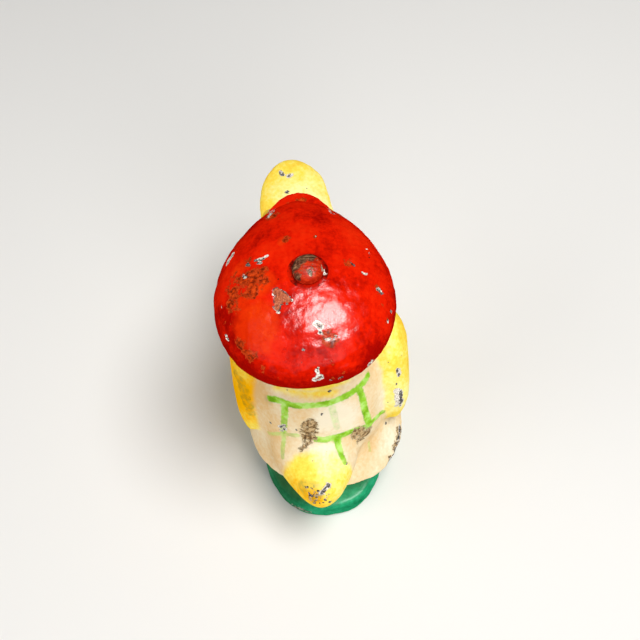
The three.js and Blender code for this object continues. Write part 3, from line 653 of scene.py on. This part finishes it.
# The button: the domed head of the tie bolt, worn to the iron on its high side
button = {
    "form": {"grain": 0.2, "fillet": 0, "rounds": 12, "lumps": ((1.6, 0.22),), "sunk": 0.5},
    "coat": {
        "tones": ("#7E1408", "#B8260E", "#DA4420"), "secondTones": ("#24120C", "#5A3626", "#A8845E"),
        "speck": "#2A100B", "dirtAndShade": "#1E0B08", "underTones": ("#3A1A12", "#7A3A28", "#B08068"),
        "rim": "#B8684A", "wanderSize": 1.1, "wander": 2.6, "dirt": 1.6, "lumpSize": 0.9, "lump": 0.2,
        "roughness": 0.38, "brush": (0.5, 2.4, 0.6), "streaks": 0.7, "ridge": 0.16, "flakeSize": 0.9,
        # the pale tan ground is partly a painted highlight, through the first chip below
        "groundTones": ("#7A6450", "#B4987A", "#DCC8B0"), "ironTones": ("#3A2A22", "#6A5444", "#A8917C"),
    },
    # middle, radius and strength of the places where the paint is gone
    "worn": (
        ((2.4, 4.6, 89.4), 2.2, 1.0), ((0.4, 4.4, 89.6), 1.8, 0.9), ((3.6, 6.4, 88.6), 1.8, 0.9),
        ((3.3, 9.0, 88.4), 1.2, 0.6),
    ),
    "flaked": (((0.9, 7.2, 90.0), 3.6, 0.5),),
    # the first chip, with its pale tan ground, is also a painted highlight where a glint shows on the +Y
    # side of the dome
    "chips": (
        ((0.4, 8.6, 89.8), (0.2, 9.6, 89.6), 0.3, 0.35), ((-2.3, 7.4, 88.6), (-2.6, 8.0, 88.2), 0.4, 0.1),
    ),
}


def makeButton():
    bolt = copyOf(["button_bolt"], "worn_button_bolt")
    recast(bolt, button["form"])
    points = pointsOf(bolt)
    second = zonesAt(points, button["worn"]) * 2.4 - 0.9
    second[points[:, 2] < 86] = 3.0   # the shank was never painted
    wear(bolt, button["chips"], button["flaked"], second, reach=1.0)
    wornEnamel = enamel("worn red enamel on an iron bolt", plainCoat | button["coat"])
    finish(bolt, ["button_bolt"], wornEnamel)


makeButton()


# The figure: body, jacket, wings, tail, head and upper bill, cast as one skin and painted in parts
figure = {
    "form": {"grain": 0.34, "fillet": 1.3, "rounds": 46, "lumps": ((7.0, 0.5), (2.8, 0.2)), "sunk": 0.5},
    # piece name: the CAD nodes that it stands for and its slot
    "parts": {
        "enamelled_body": (("lower_body",), "yellow_enamel"),
        "enamelled_jacket": (("jacket_front", "jacket_back"), "cream_enamel"),
        "enamelled_left_wing": (("left_wing",), "yellow_enamel"),
        "enamelled_right_wing": (("right_wing",), "yellow_enamel"),
        "enamelled_tail": (("tail",), "yellow_enamel"),
        "enamelled_head": (("head",), "yellow_enamel"),
        "enamelled_upper_bill": (("upper_bill",), "yellow_enamel"),
    },
    "coat": {
        "tones": ("#E4BC80", "#EBD3A8", "#F4E8CC"), "secondTones": ("#FCB604", "#FCDE54", "#FFF5A2"),
        "strokes": ("#72AA1C", "#98D03A", "#BCE87C"), "contrast": 0.6,
        "toneSize": 8.0, "wanderSize": 3.2, "wander": 3.0, "lapSoft": 1.3, "rub": "#FFF8DC", "rubbed": 0.25,
        "rim": "#E6D2A8", "speck": "#8A6A4C", "dirtAndShade": "#7E6420",
        "underTones": ("#624A32", "#A08258", "#CCB084"),
        "flakeSize": 1.1, "flakeReach": 0.46, "speckShare": 0.12, "dirt": 0.5,
    },
    "tuck": 2.0,   # how deep the cut edges of the parts turn in
    "unseen": (6.0, 61.0),   # the photo shows nothing that is both in front of this and below this
    "tailPaint": (3.3, 30.5, 0.035),   # middle, start and bend of the line where the tail turns yellow
    # how many marks are strewn where the photo doesn't reach, their sizes, and the seed
    "edgeChips": (26, (0.25, 0.7), 21), "faceChips": (16, (0.15, 0.5), 22),
    "edgeFlaked": (7, (0.5, 0.6), 23),
    "chips": (
        ((9.1, 19.6, 51.3), (8.8, 19.7, 51.4), -0.4, 0.32),
        ((-1.3, 20.9, 52.0), (-2.2, 20.8, 52.0), -0.4, 0.4),
        ((-3.6, 20.1, 52.0), (-4.4, 19.7, 52.0), -0.4, 0.27),
        ((11.6, 24.2, 38.8), (10.3, 24.5, 40.3), 0.54, 0.26),
        ((11.3, 24.8, 37.5), (10.0, 25.0, 39.3), 0.41, 0.16),
        ((0.5, 24.6, 45.9), (0.2, 24.5, 46.2), -0.4, 0.23),
        ((14.1, 22.4, 37.6), (13.9, 22.6, 37.9), -0.42, 0.23),
        ((7.4, 25.8, 40.3), (7.3, 25.9, 40.2), -0.41, 0.23),
        ((-16.7, 19.2, 22.9), (-16.9, 19.2, 22.7), -0.44, 0.17),
        ((-4.8, 33.2, 32.2), (-5.0, 33.2, 31.9), -0.42, 0.29),
        ((0.2, 38.8, 32.4), (1.0, 39.6, 32.2), 0.77, 0.51),
        ((1.0, 39.4, 32.3), (2.1, 40.7, 31.4), 0.62, 0.44),
        ((3.6, 41.8, 29.7), (3.1, 42.0, 29.7), -0.41, 0.39),
        ((4.7, 39.2, 32.0), (4.6, 39.4, 31.9), -0.41, 0.21),
        ((4.2, 40.5, 31.1), (4.0, 40.7, 31.0), -0.41, 0.23),
        ((1.0, 41.2, 30.7), (0.9, 41.1, 30.7), -0.41, 0.21),
        ((5.7, 38.6, 31.9), (5.6, 38.7, 31.9), -0.41, 0.18),
        ((-0.4, 39.3, 31.9), (-0.5, 39.5, 31.7), -0.41, 0.18),
        ((2.6, 41.4, 30.6), (2.4, 41.4, 30.5), -0.41, 0.23),
        ((3.9, 38.7, 32.6), (3.8, 38.8, 32.5), -0.41, 0.18),
        ((3.0, 39.9, 32.0), (2.8, 40.0, 31.9), -0.41, 0.21),
        ((5.3, 40.1, 30.8), (5.2, 40.2, 30.8), -0.41, 0.18),
        ((0.1, 40.5, 31.1), (-0.1, 40.6, 30.9), -0.41, 0.21),
        ((5.7, 39.7, 31.0), (5.5, 39.9, 31.0), -0.41, 0.28),
        ((5.0, 40.5, 30.6), (4.7, 40.7, 30.6), -0.41, 0.31),
        ((4.2, 39.9, 31.7), (4.0, 40.1, 31.6), -0.41, 0.26),
        ((3.6, 41.1, 30.7), (3.2, 41.2, 30.7), -0.41, 0.31),
        ((2.1, 40.9, 31.2), (1.9, 41.1, 31.0), -0.41, 0.28),
        ((1.4, 41.8, 30.0), (1.1, 41.8, 29.9), -0.41, 0.28),
        ((0.3, 42.0, 29.0), (0.1, 42.0, 28.8), -0.41, 0.23),
        ((6.4, 38.5, 31.4), (6.3, 38.7, 31.4), -0.41, 0.21),
        ((5.5, 40.8, 29.6), (5.3, 41.0, 29.6), -0.41, 0.26),
        ((4.3, 42.0, 28.7), (4.0, 42.1, 28.8), -0.41, 0.31),
        ((3.1, 42.4, 28.7), (2.9, 42.4, 28.8), -0.41, 0.23),
        ((2.0, 42.2, 29.4), (1.8, 42.3, 29.2), -0.41, 0.23),
        ((-19.9, 13.8, 45.7), (-20.2, 14.5, 43.9), 0.64, 0.33),
        ((-19.7, 17.0, 39.5), (-19.9, 19.1, 34.1), 0.94, -0.52),
        ((-20.7, 16.9, 38.3), (-20.8, 18.9, 32.9), 0.73, 0.45),
        ((-19.2, 9.8, 51.9), (-19.3, 9.9, 51.7), -0.41, 0.2),
        ((-21.2, 10.9, 48.1), (-21.3, 11.0, 47.7), -0.41, 0.2),
        ((-17.4, 12.9, 48.5), (-17.6, 13.1, 48.4), -0.41, 0.25),
        ((-19.4, 16.0, 41.7), (-19.5, 16.2, 41.4), -0.42, 0.23),
        ((-20.9, 18.2, 18.1), (-20.2, 22.4, 17.7), 0.34, 0.25),
        ((-20.1, 22.7, 17.7), (-18.8, 25.8, 17.4), 0.28, 0.25),
        ((-18.5, 26.3, 17.4), (-16.7, 28.7, 17.2), 0.22, 0.22),
        ((6.3, -37.8, 64.3), (5.9, -36.7, 64.5), 0.58, 0.4),
        ((4.3, -35.9, 64.6), (3.5, -36.3, 64.6), 0.53, 0.24),
        ((5.1, -30.9, 64.4), (4.6, -31.3, 64.4), -0.42, 0.42),
        ((1.7, -33.2, 64.5), (1.6, -33.1, 64.5), -0.42, 0.13),
        ((-0.1, -32.0, 64.2), (-0.3, -31.9, 64.2), -0.42, 0.16),
        ((3.8, -32.6, 64.5), (3.7, -32.4, 64.5), -0.42, 0.16),
    ),
    "flaked": (
        ((3.6, 25.8, 42.6), 2.3, 0.95), ((4.0, 26.6, 40.3), 2.6, 0.95), ((4.2, 27.3, 37.9), 2.3, 0.95),
        ((5.1, 28.3, 36.4), 1.4, 0.8), ((6.6, 29.4, 35.7), 0.9, 0.8), ((-8.8, 25.9, 35.1), 2.5, 0.95),
        ((-10.8, 25.2, 32.2), 2.2, 0.95), ((-9.3, 26.4, 31.8), 1.8, 0.8), ((-20.6, 19.6, 18.1), 1.4, 0.9),
        ((-20.0, 22.2, 17.9), 1.4, 0.9), ((-19.2, 24.7, 17.5), 1.4, 0.9), ((-17.5, 27.7, 17.3), 1.4, 0.9),
        ((3.3, 41.1, 30.8), 3.1, 0.5), ((-19.3, 24.1, 17.7), 1.7, 0.7), ((10.7, 24.7, 39.2), 1.5, 0.5),
        ((9.8, -25.3, 63.2), 1.3, 0.8),
    ),
    # where the yellow of the neck runs out under the cap
    "collar": (
        ((11.0, 18.3, 50.8), (7.8, 20.1, 51.8), 0.85), ((7.8, 20.1, 51.8), (4.1, 21.2, 52.0), 1.04),
        ((4.1, 21.2, 52.0), (0.4, 21.6, 51.9), 1.09), ((0.4, 21.6, 51.9), (-3.6, 21.2, 51.7), 0.89),
    ),
    # where the ends of the wings run into the jacket
    "melted": (((19.2, 18.2, 37.5), 8.5, 1.0), ((-19.6, 19.0, 30.0), 4.0, 0.8)), "meltRounds": 220,
    # where the paint is darker or paler than elsewhere
    # painted shade and painted light: the paint is darker on the side away from the lamp and in the fold by
    # the tail, and paler where the light falls most
    "paintedShade": (
        ((21.0, 14.0, 40.0), 10.0, 1.0), ((20.0, 8.0, 34.0), 8.0, 0.7), ((7.0, 39.0, 26.0), 5.5, 0.8),
        ((5.5, 41.0, 29.5), 3.2, 1.0), ((14.0, 27.5, 29.0), 6.0, 0.5), ((8.5, -24.0, 62.0), 4.0, 0.6),
        ((16.0, 21.5, 36.0), 7.0, 0.7), ((-13.0, 24.0, 26.0), 4.0, 0.5),
    ),
    "paintedLight": (
        ((-3.0, 25.5, 43.0), 6.0, 1.0), ((-0.5, 31.5, 35.0), 4.5, 0.5), ((0.5, -28.0, 65.0), 8.0, 0.8),
        ((-20.5, 17.0, 38.0), 7.0, 0.7), ((-17.0, 23.0, 18.5), 5.0, 0.7),
    ),
    # where dirt lies
    "shaded": (
        ((20.8, 13.3, 45.2), 1.5, 0.9), ((20.4, 14.8, 42.9), 1.6, 1.0), ((20.3, 16.1, 40.5), 1.6, 1.0),
        ((19.7, 17.3, 38.7), 1.6, 1.0), ((19.3, 18.5, 36.0), 1.3, 0.9), ((21.7, 11.6, 45.9), 1.3, 0.6),
        ((4.5, 40.1, 31.3), 2.8, 0.55), ((6.5, 38.4, 31.5), 1.8, 0.6), ((10.6, -25.3, 62.9), 1.2, 1.0),
        ((13.8, 19.4, 45.5), 1.5, 0.3),
    ),
    "strokes": (
        (((13.3, 19.4, 46.3), (11.6, 20.3, 47.5), (9.9, 21.3, 48.0), (8.2, 22.2, 48.1), (5.9, 22.8, 48.4),
          (3.7, 23.1, 48.8), (1.2, 23.3, 48.9), (-1.4, 23.0, 49.1), (-3.9, 22.4, 49.4), (-6.5, 21.4, 49.4),
          (-8.9, 19.9, 49.3), (-10.5, 18.4, 49.2), (-12.0, 16.4, 49.2)), 0.99, 0.86, 1.0, 1.0),
        (((9.5, 21.7, 47.7), (9.9, 23.3, 44.2), (10.4, 24.5, 40.5), (10.9, 25.5, 36.1), (11.3, 27.6, 33.7),
          (11.5, 30.1, 32.3)), 1.1, 0.68, 1.0, 0.35),
        (((14.8, 23.0, 32.0), (12.2, 24.7, 35.5), (10.1, 25.7, 37.0), (7.2, 26.6, 38.0)),
          0.56, 0.79, 0.35, 0.4),
        (((2.4, 27.6, 37.3), (0.4, 27.8, 36.8), (-2.0, 27.5, 37.0), (-4.3, 27.1, 37.1), (-7.0, 26.3, 37.0),
          (-9.7, 25.2, 35.9), (-11.6, 24.1, 34.5)), 0.91, 1.02, 0.85, 1.0),
        (((-9.4, 19.6, 49.2), (-10.1, 20.9, 46.3), (-10.7, 22.5, 42.0), (-11.4, 23.5, 37.6),
          (-11.7, 24.1, 34.1)), 0.98, 1.12, 0.95, 1.0),
        (((-11.6, 23.9, 35.1), (-13.7, 21.9, 34.2), (-15.6, 19.3, 32.0)), 1.11, 0.82, 1.0, 0.85),
        (((-3.0, 27.5, 36.9), (-3.3, 29.5, 34.8), (-3.8, 31.4, 33.9), (-4.6, 33.1, 32.4)),
          1.1, 0.67, 1.0, 0.8),
        (((-11.5, 25.3, 25.5), (-11.8, 26.7, 22.4)), 0.38, 0.32, 0.3, 0.25),
        (((-2.3, 23.7, 47.5), (-3.2, 26.4, 40.4)), 0.95, 0.84, 0.25, 0.12),
        (((-12.1, -5.9, 45.2), (-9.8, -8.8, 44.2), (-6.5, -11.3, 43.2), (-2.7, -12.5, 42.8),
          (1.3, -12.6, 43.2), (5.4, -12.2, 43.0), (9.4, -10.4, 43.8), (12.7, -7.3, 45.0)),
          0.74, 0.84, 1.0, 0.9),
        (((16.3, -7.2, 33.6), (12.7, -11.5, 32.4), (8.2, -14.3, 32.0), (3.3, -15.3, 32.4),
          (-2.2, -15.3, 31.8), (-6.9, -14.1, 32.2), (-11.0, -11.4, 32.8), (-14.3, -7.6, 34.0)),
         0.84, 0.7, 0.95, 1.0),
        (((-13.3, -8.3, 21.2), (-9.6, -11.5, 20.8), (-5.4, -13.4, 21.4), (-1.0, -14.1, 21.0),
          (4.0, -14.0, 21.6), (9.2, -12.6, 21.2), (13.6, -9.8, 22.0)), 0.7, 0.8, 1.0, 0.75),
        (((-5.5, -7.5, 50.0), (-8.3, -11.0, 42.0), (-9.2, -12.7, 34.0), (-9.3, -12.4, 26.0),
          (-8.7, -11.9, 19.0)), 0.88, 0.6, 1.0, 0.6),
        (((-1.4, -8.5, 50.0), (-1.8, -12.9, 42.0), (-2.4, -15.1, 34.0), (-2.1, -14.8, 26.0),
          (-2.2, -13.8, 18.0)), 0.8, 0.7, 0.9, 0.8),
        (((2.5, -8.2, 50.5), (4.2, -12.9, 42.0), (4.6, -15.0, 34.0), (4.8, -14.8, 26.0),
          (4.2, -13.9, 19.5)), 0.84, 0.56, 1.0, 0.5),
        (((7.3, -7.9, 49.5), (10.4, -10.8, 42.0), (11.5, -12.3, 34.0), (11.6, -12.0, 26.0),
          (10.9, -11.7, 20.0)), 0.8, 0.66, 0.95, 0.7),
    ),
}


# Distance to the brushed lines, and how much paint the nearest one holds
def brushed(points, strokes):
    gap = np.full(len(points), farOff)
    tone = np.zeros(len(points))
    for line, startWidth, endWidth, startTone, endTone in strokes:
        line = np.array(line)
        lengths = np.linalg.norm(np.diff(line, axis=0), axis=1)
        passed = np.concatenate(([0], np.cumsum(lengths))) / lengths.sum()
        for i in range(len(line) - 1):
            run = line[i + 1] - line[i]
            along = np.clip((points - line[i]) @ run / (run @ run), 0, 1)
            away = np.linalg.norm(points - line[i] - along[:, None] * run, axis=1)
            share = passed[i] + along * (passed[i + 1] - passed[i])
            mine = away - (startWidth + (endWidth - startWidth) * share)
            nearer = mine < gap
            gap[nearer] = mine[nearer]
            tone[nearer] = (startTone + (endTone - startTone) * share)[nearer]
    return gap, tone


# Cuts the part whose faces carry this number off the skin
def cutOff(skin, number):
    numbers = readOut(skin.data.attributes["region"].data, "value")
    bpy.context.tool_settings.mesh_select_mode = (False, False, True)
    openMesh(skin, "DESELECT")
    closeMesh()
    skin.data.polygons.foreach_set("select", numbers == number)
    bpy.ops.object.mode_set(mode="EDIT")
    bpy.ops.mesh.separate(type="SELECTED")
    closeMesh()
    return [piece for piece in bpy.context.selected_objects if piece is not skin][0]


# Turns the cut edges of a part in under its neighbours, closes it there, and keeps the skin's own shading
def closeBehind(part):
    bpy.context.tool_settings.mesh_select_mode = (False, True, False)
    openMesh(part, "DESELECT")
    bpy.ops.mesh.select_non_manifold(
        use_wire=False, use_multi_face=False, use_non_contiguous=False, use_verts=False)
    bpy.ops.mesh.extrude_edges_indiv()
    closeMesh()
    normals = readOut(part.data.attributes["skinNormal"].data, "vector", 3, np.float32)
    rim = readOut(part.data.vertices, "select", 1, bool)
    movePoints(part, pointsOf(part) - figure["tuck"] * normals * rim[:, None])
    openMesh(part)
    bpy.ops.mesh.fill_holes(sides=0)
    closeMesh()
    part.data.shade_smooth()
    part.data.normals_split_custom_set_from_vertices(normals)
    part.data.attributes.remove(part.data.attributes["skinNormal"])
    part.data.attributes.remove(part.data.attributes["region"])


def makeFigure():
    owners = list(figure["parts"].items())
    skin = copyOf([node for _, (nodes, _) in owners for node in nodes], "figure_skin")
    recast(skin, figure["form"])
    soften(skin, figure["melted"], figure["meltRounds"])
    points = pointsOf(skin)
    away = np.stack([distanceTo(nodes, points) for _, (nodes, _) in owners], axis=1)
    away = relaxed(away, edgesOf(skin), 6)
    print("figure skin", len(points), "points")

    # yellow wherever a yellow casting is nearer than the jacket, but only the far end of the tail
    jacket, tail = 1, 4   # their places among the parts
    second = away[:, jacket] - np.delete(away, jacket, axis=1).min(axis=1)
    middle, start, bend = figure["tailPaint"]
    along = points[:, 1] - start - bend * (points[:, 0] - middle) ** 2
    byTail = away[:, tail] <= np.delete(away, (jacket, tail), axis=1).min(axis=1)
    second[byTail] = np.minimum(second, along)[byTail]
    second = np.maximum(second, -gapTo(points, figure["collar"], 2))
    gap, tone = brushed(points, figure["strokes"])
    writeField(skin, "strokeGap", gap)
    writeField(skin, "strokeTone", tone)
    # painted light and painted shade: paler and darker zones shift the tone
    tone = zonesAt(points, figure["paintedLight"]) - zonesAt(points, figure["paintedShade"])
    # dirt in the zones listed as shaded, and a painted shadow under the edge of the cap
    dirtAndShade = zonesAt(points, figure["shaded"]) + 0.5 * np.exp(-distanceTo(["cap_crown"], points) / 0.7)
    # the sides that the photo hides: small chips on the proud edges, and a few tired places
    front = (points[:, 1] < figure["unseen"][0]) & (points[:, 2] < figure["unseen"][1])
    edges = front & (reliefOf(skin, 1.6) > 0.1)
    chips = figure["chips"] + strewn(skin, edges, *figure["edgeChips"])
    chips += strewn(skin, front, *figure["faceChips"])
    flaked = figure["flaked"] + zonesOn(strewn(skin, edges, *figure["edgeFlaked"]), 2.4)
    wear(skin, chips, flaked, second, tone, dirtAndShade=dirtAndShade)

    normal = skin.data.attributes.new("skinNormal", "FLOAT_VECTOR", "POINT")
    normal.data.foreach_set("vector", normalsOf(skin).ravel())
    corners = readOut(skin.data.loops, "vertex_index")
    starts = readOut(skin.data.polygons, "loop_start")
    faceAway = np.add.reduceat(away[corners], starts, axis=0)
    region = skin.data.attributes.new("region", "INT", "FACE")
    region.data.foreach_set("value", np.argmin(faceAway, axis=1).astype(np.int32))

    paint = enamel("cream and yellow enamel over cast iron", plainCoat | figure["coat"])
    for number, (name, (nodes, slot)) in enumerate(owners):
        last = number == len(owners) - 1
        part = skin if last else cutOff(skin, number)
        part.name = name
        part.data.name = name
        closeBehind(part)
        finish(part, nodes, paint)


makeFigure()


# The base and the feet
base = {
    "form": {"grain": 0.4, "fillet": 0, "rounds": 14, "lumps": ((6.0, 0.4), (2.2, 0.15)), "sunk": 0.9},
    "coat": {
        "tones": ("#14764A", "#269C6A", "#3EB888"), "secondTones": ("#1A5A36", "#287048", "#38885A"),
        "speck": "#2C3A2A", "dirtAndShade": "#0B3F33", "underTones": ("#3A2418", "#7A5238", "#B09A7C"),
        "rim": "#8FB49A", "roughness": 0.38, "wanderSize": 4.0, "wander": 3.0, "lapSoft": 1.6,
        "rub": "#7FD0AE", "rubbed": 0.3,
    },
    "chips": (
        ((10.8, 33.9, 3.0), (8.7, 35.4, 2.6), 0.5, 0.3), ((8.2, 35.6, 2.5), (6.1, 36.5, 2.5), 0.4, 0.3),
    ),
    "flaked": (((8.5, 35.5, 2.6), 2.6, 0.8),),
    "unseen": 18.0,   # the photo shows nothing in front of this
    "strewnChips": (22, (0.25, 0.8), 31), "footChips": (7, (0.2, 0.5), 32),
    "footForm": {"grain": 0.22, "fillet": 0, "rounds": 12, "lumps": ((2.4, 0.25),), "sunk": 0.7},
    "footCoat": {
        "tones": ("#D8791C", "#E98F26", "#F2A53C"), "rim": "#F0B870", "speck": "#5A3A20",
        "dirtAndShade": "#6A3C14", "underTones": ("#3A2418", "#7A5238", "#B09A7C"),
    },
}


def makeBase():
    plinth = copyOf(["base"], "enamelled_base")
    recast(plinth, base["form"])
    points = pointsOf(plinth)
    # painted shade: the darker second green laps over the side towards +X, away from the lamp
    paintedShade = (points[:, 0] - 8.0) * 0.3
    edges = (points[:, 1] < base["unseen"]) & (reliefOf(plinth, 1.6) > 0.08)
    wear(plinth, base["chips"] + strewn(plinth, edges, *base["strewnChips"]), base["flaked"], paintedShade)
    green = enamel("green enamel over cast iron", plainCoat | base["coat"])
    finish(plinth, ["base"], green)
    orange = enamel("orange enamel over cast iron", plainCoat | base["footCoat"])
    for side in ("left", "right"):
        foot = copyOf([side + "_foot"], f"enamelled_{side}_foot")
        recast(foot, base["footForm"])
        wear(foot, strewn(foot, reliefOf(foot, 1.0) > 0.06, *base["footChips"]))
        finish(foot, [side + "_foot"], orange)


makeBase()


# The lower bill and the bead eyes
face = {
    "billForm": {"grain": 0.3, "fillet": 0, "rounds": 16, "lumps": ((3.0, 0.25),), "sunk": 0.7},
    "billChips": (5, (0.25, 0.6), 41),
    "eyeForm": {"grain": 0.14, "fillet": 0, "rounds": 8, "lumps": ((1.2, 0.08),), "sunk": 0.7},
    "eyeCoat": {
        "tones": ("#0B0B0C", "#141416", "#232326"), "rim": "#2A2A2C", "speck": "#3A3430",
        "dirtAndShade": "#050505", "underTones": ("#2A2420", "#4A4038", "#6A6058"),
        "roughness": 0.2, "lump": 0.04, "peel": 0.02, "ridge": 0.01, "shine": 0.5, "varnish": 0.6,
    },
}


def makeFace():
    bill = copyOf(["lower_bill"], "enamelled_lower_bill")
    recast(bill, face["billForm"])
    wear(bill, strewn(bill, reliefOf(bill, 1.0) > 0.06, *face["billChips"]), second=farOff)
    plainYellow = {key: value for key, value in figure["coat"].items() if key != "strokes"}
    yellow = enamel("yellow enamel over cast iron", plainCoat | plainYellow)
    finish(bill, ["lower_bill"], yellow)
    beadBlack = enamel("black enamel bead", plainCoat | face["eyeCoat"])
    for side in ("left", "right"):
        eye = copyOf([side + "_eye"], f"enamelled_{side}_eye")
        recast(eye, face["eyeForm"])
        wear(eye)
        finish(eye, [side + "_eye"], beadBlack)


makeFace()


# Mild steel, rolled and cut, with years of dry rust: dark brown film with bright worn edges
def rustedSteel():
    material, tree, spot = startMaterial("rusted mild steel")
    broad = addNode(tree, "TexNoise", {"Vector": spot, "Scale": 1 / 1.8, "Detail": 5.0, "Roughness": 0.65})
    fine = addNode(tree, "TexNoise", {"Vector": spot, "Scale": 1 / 0.3, "Detail": 3.0})
    film = addNode(tree, "ValToRGB", {0: broad},
                   stops=((0.38, "#2A211C"), (0.52, "#5A3A28"), (0.66, "#8A8480")))
    clean = addNode(tree, "MapRange", {0: broad, 1: 0.52, 2: 0.66, 3: 0.1, 4: 0.9})
    dull = addNode(tree, "MapRange", {0: fine, 1: 0.3, 2: 0.7, 3: 0.45, 4: 0.75})
    height = addNode(tree, "Math", {0: fine, 1: 0.06, 2: broad}, operation="MULTIPLY_ADD")
    bump = addNode(tree, "Bump", {"Height": height, "Distance": 0.12 * mm, "Strength": 1.0})
    shader = addNode(tree, "BsdfPrincipled", {
        "Base Color": film, "Metallic": clean, "Roughness": dull, "Normal": bump})
    addNode(tree, "OutputMaterial", {"Surface": shader})
    return material


def makeFasteners():
    steel = rustedSteel()
    for node in ("bolt_washer", "bolt_nut"):
        piece = copyOf([node], "rusted_" + node.split("_")[1])
        sharp = math.radians(40)
        modify(piece, "BEVEL", width=0.22 * mm, segments=2, limit_method="ANGLE", angle_limit=sharp)
        pickOnly(piece)
        bpy.ops.object.shade_smooth_by_angle(angle=sharp)
        finish(piece, [node], steel)


makeFasteners()
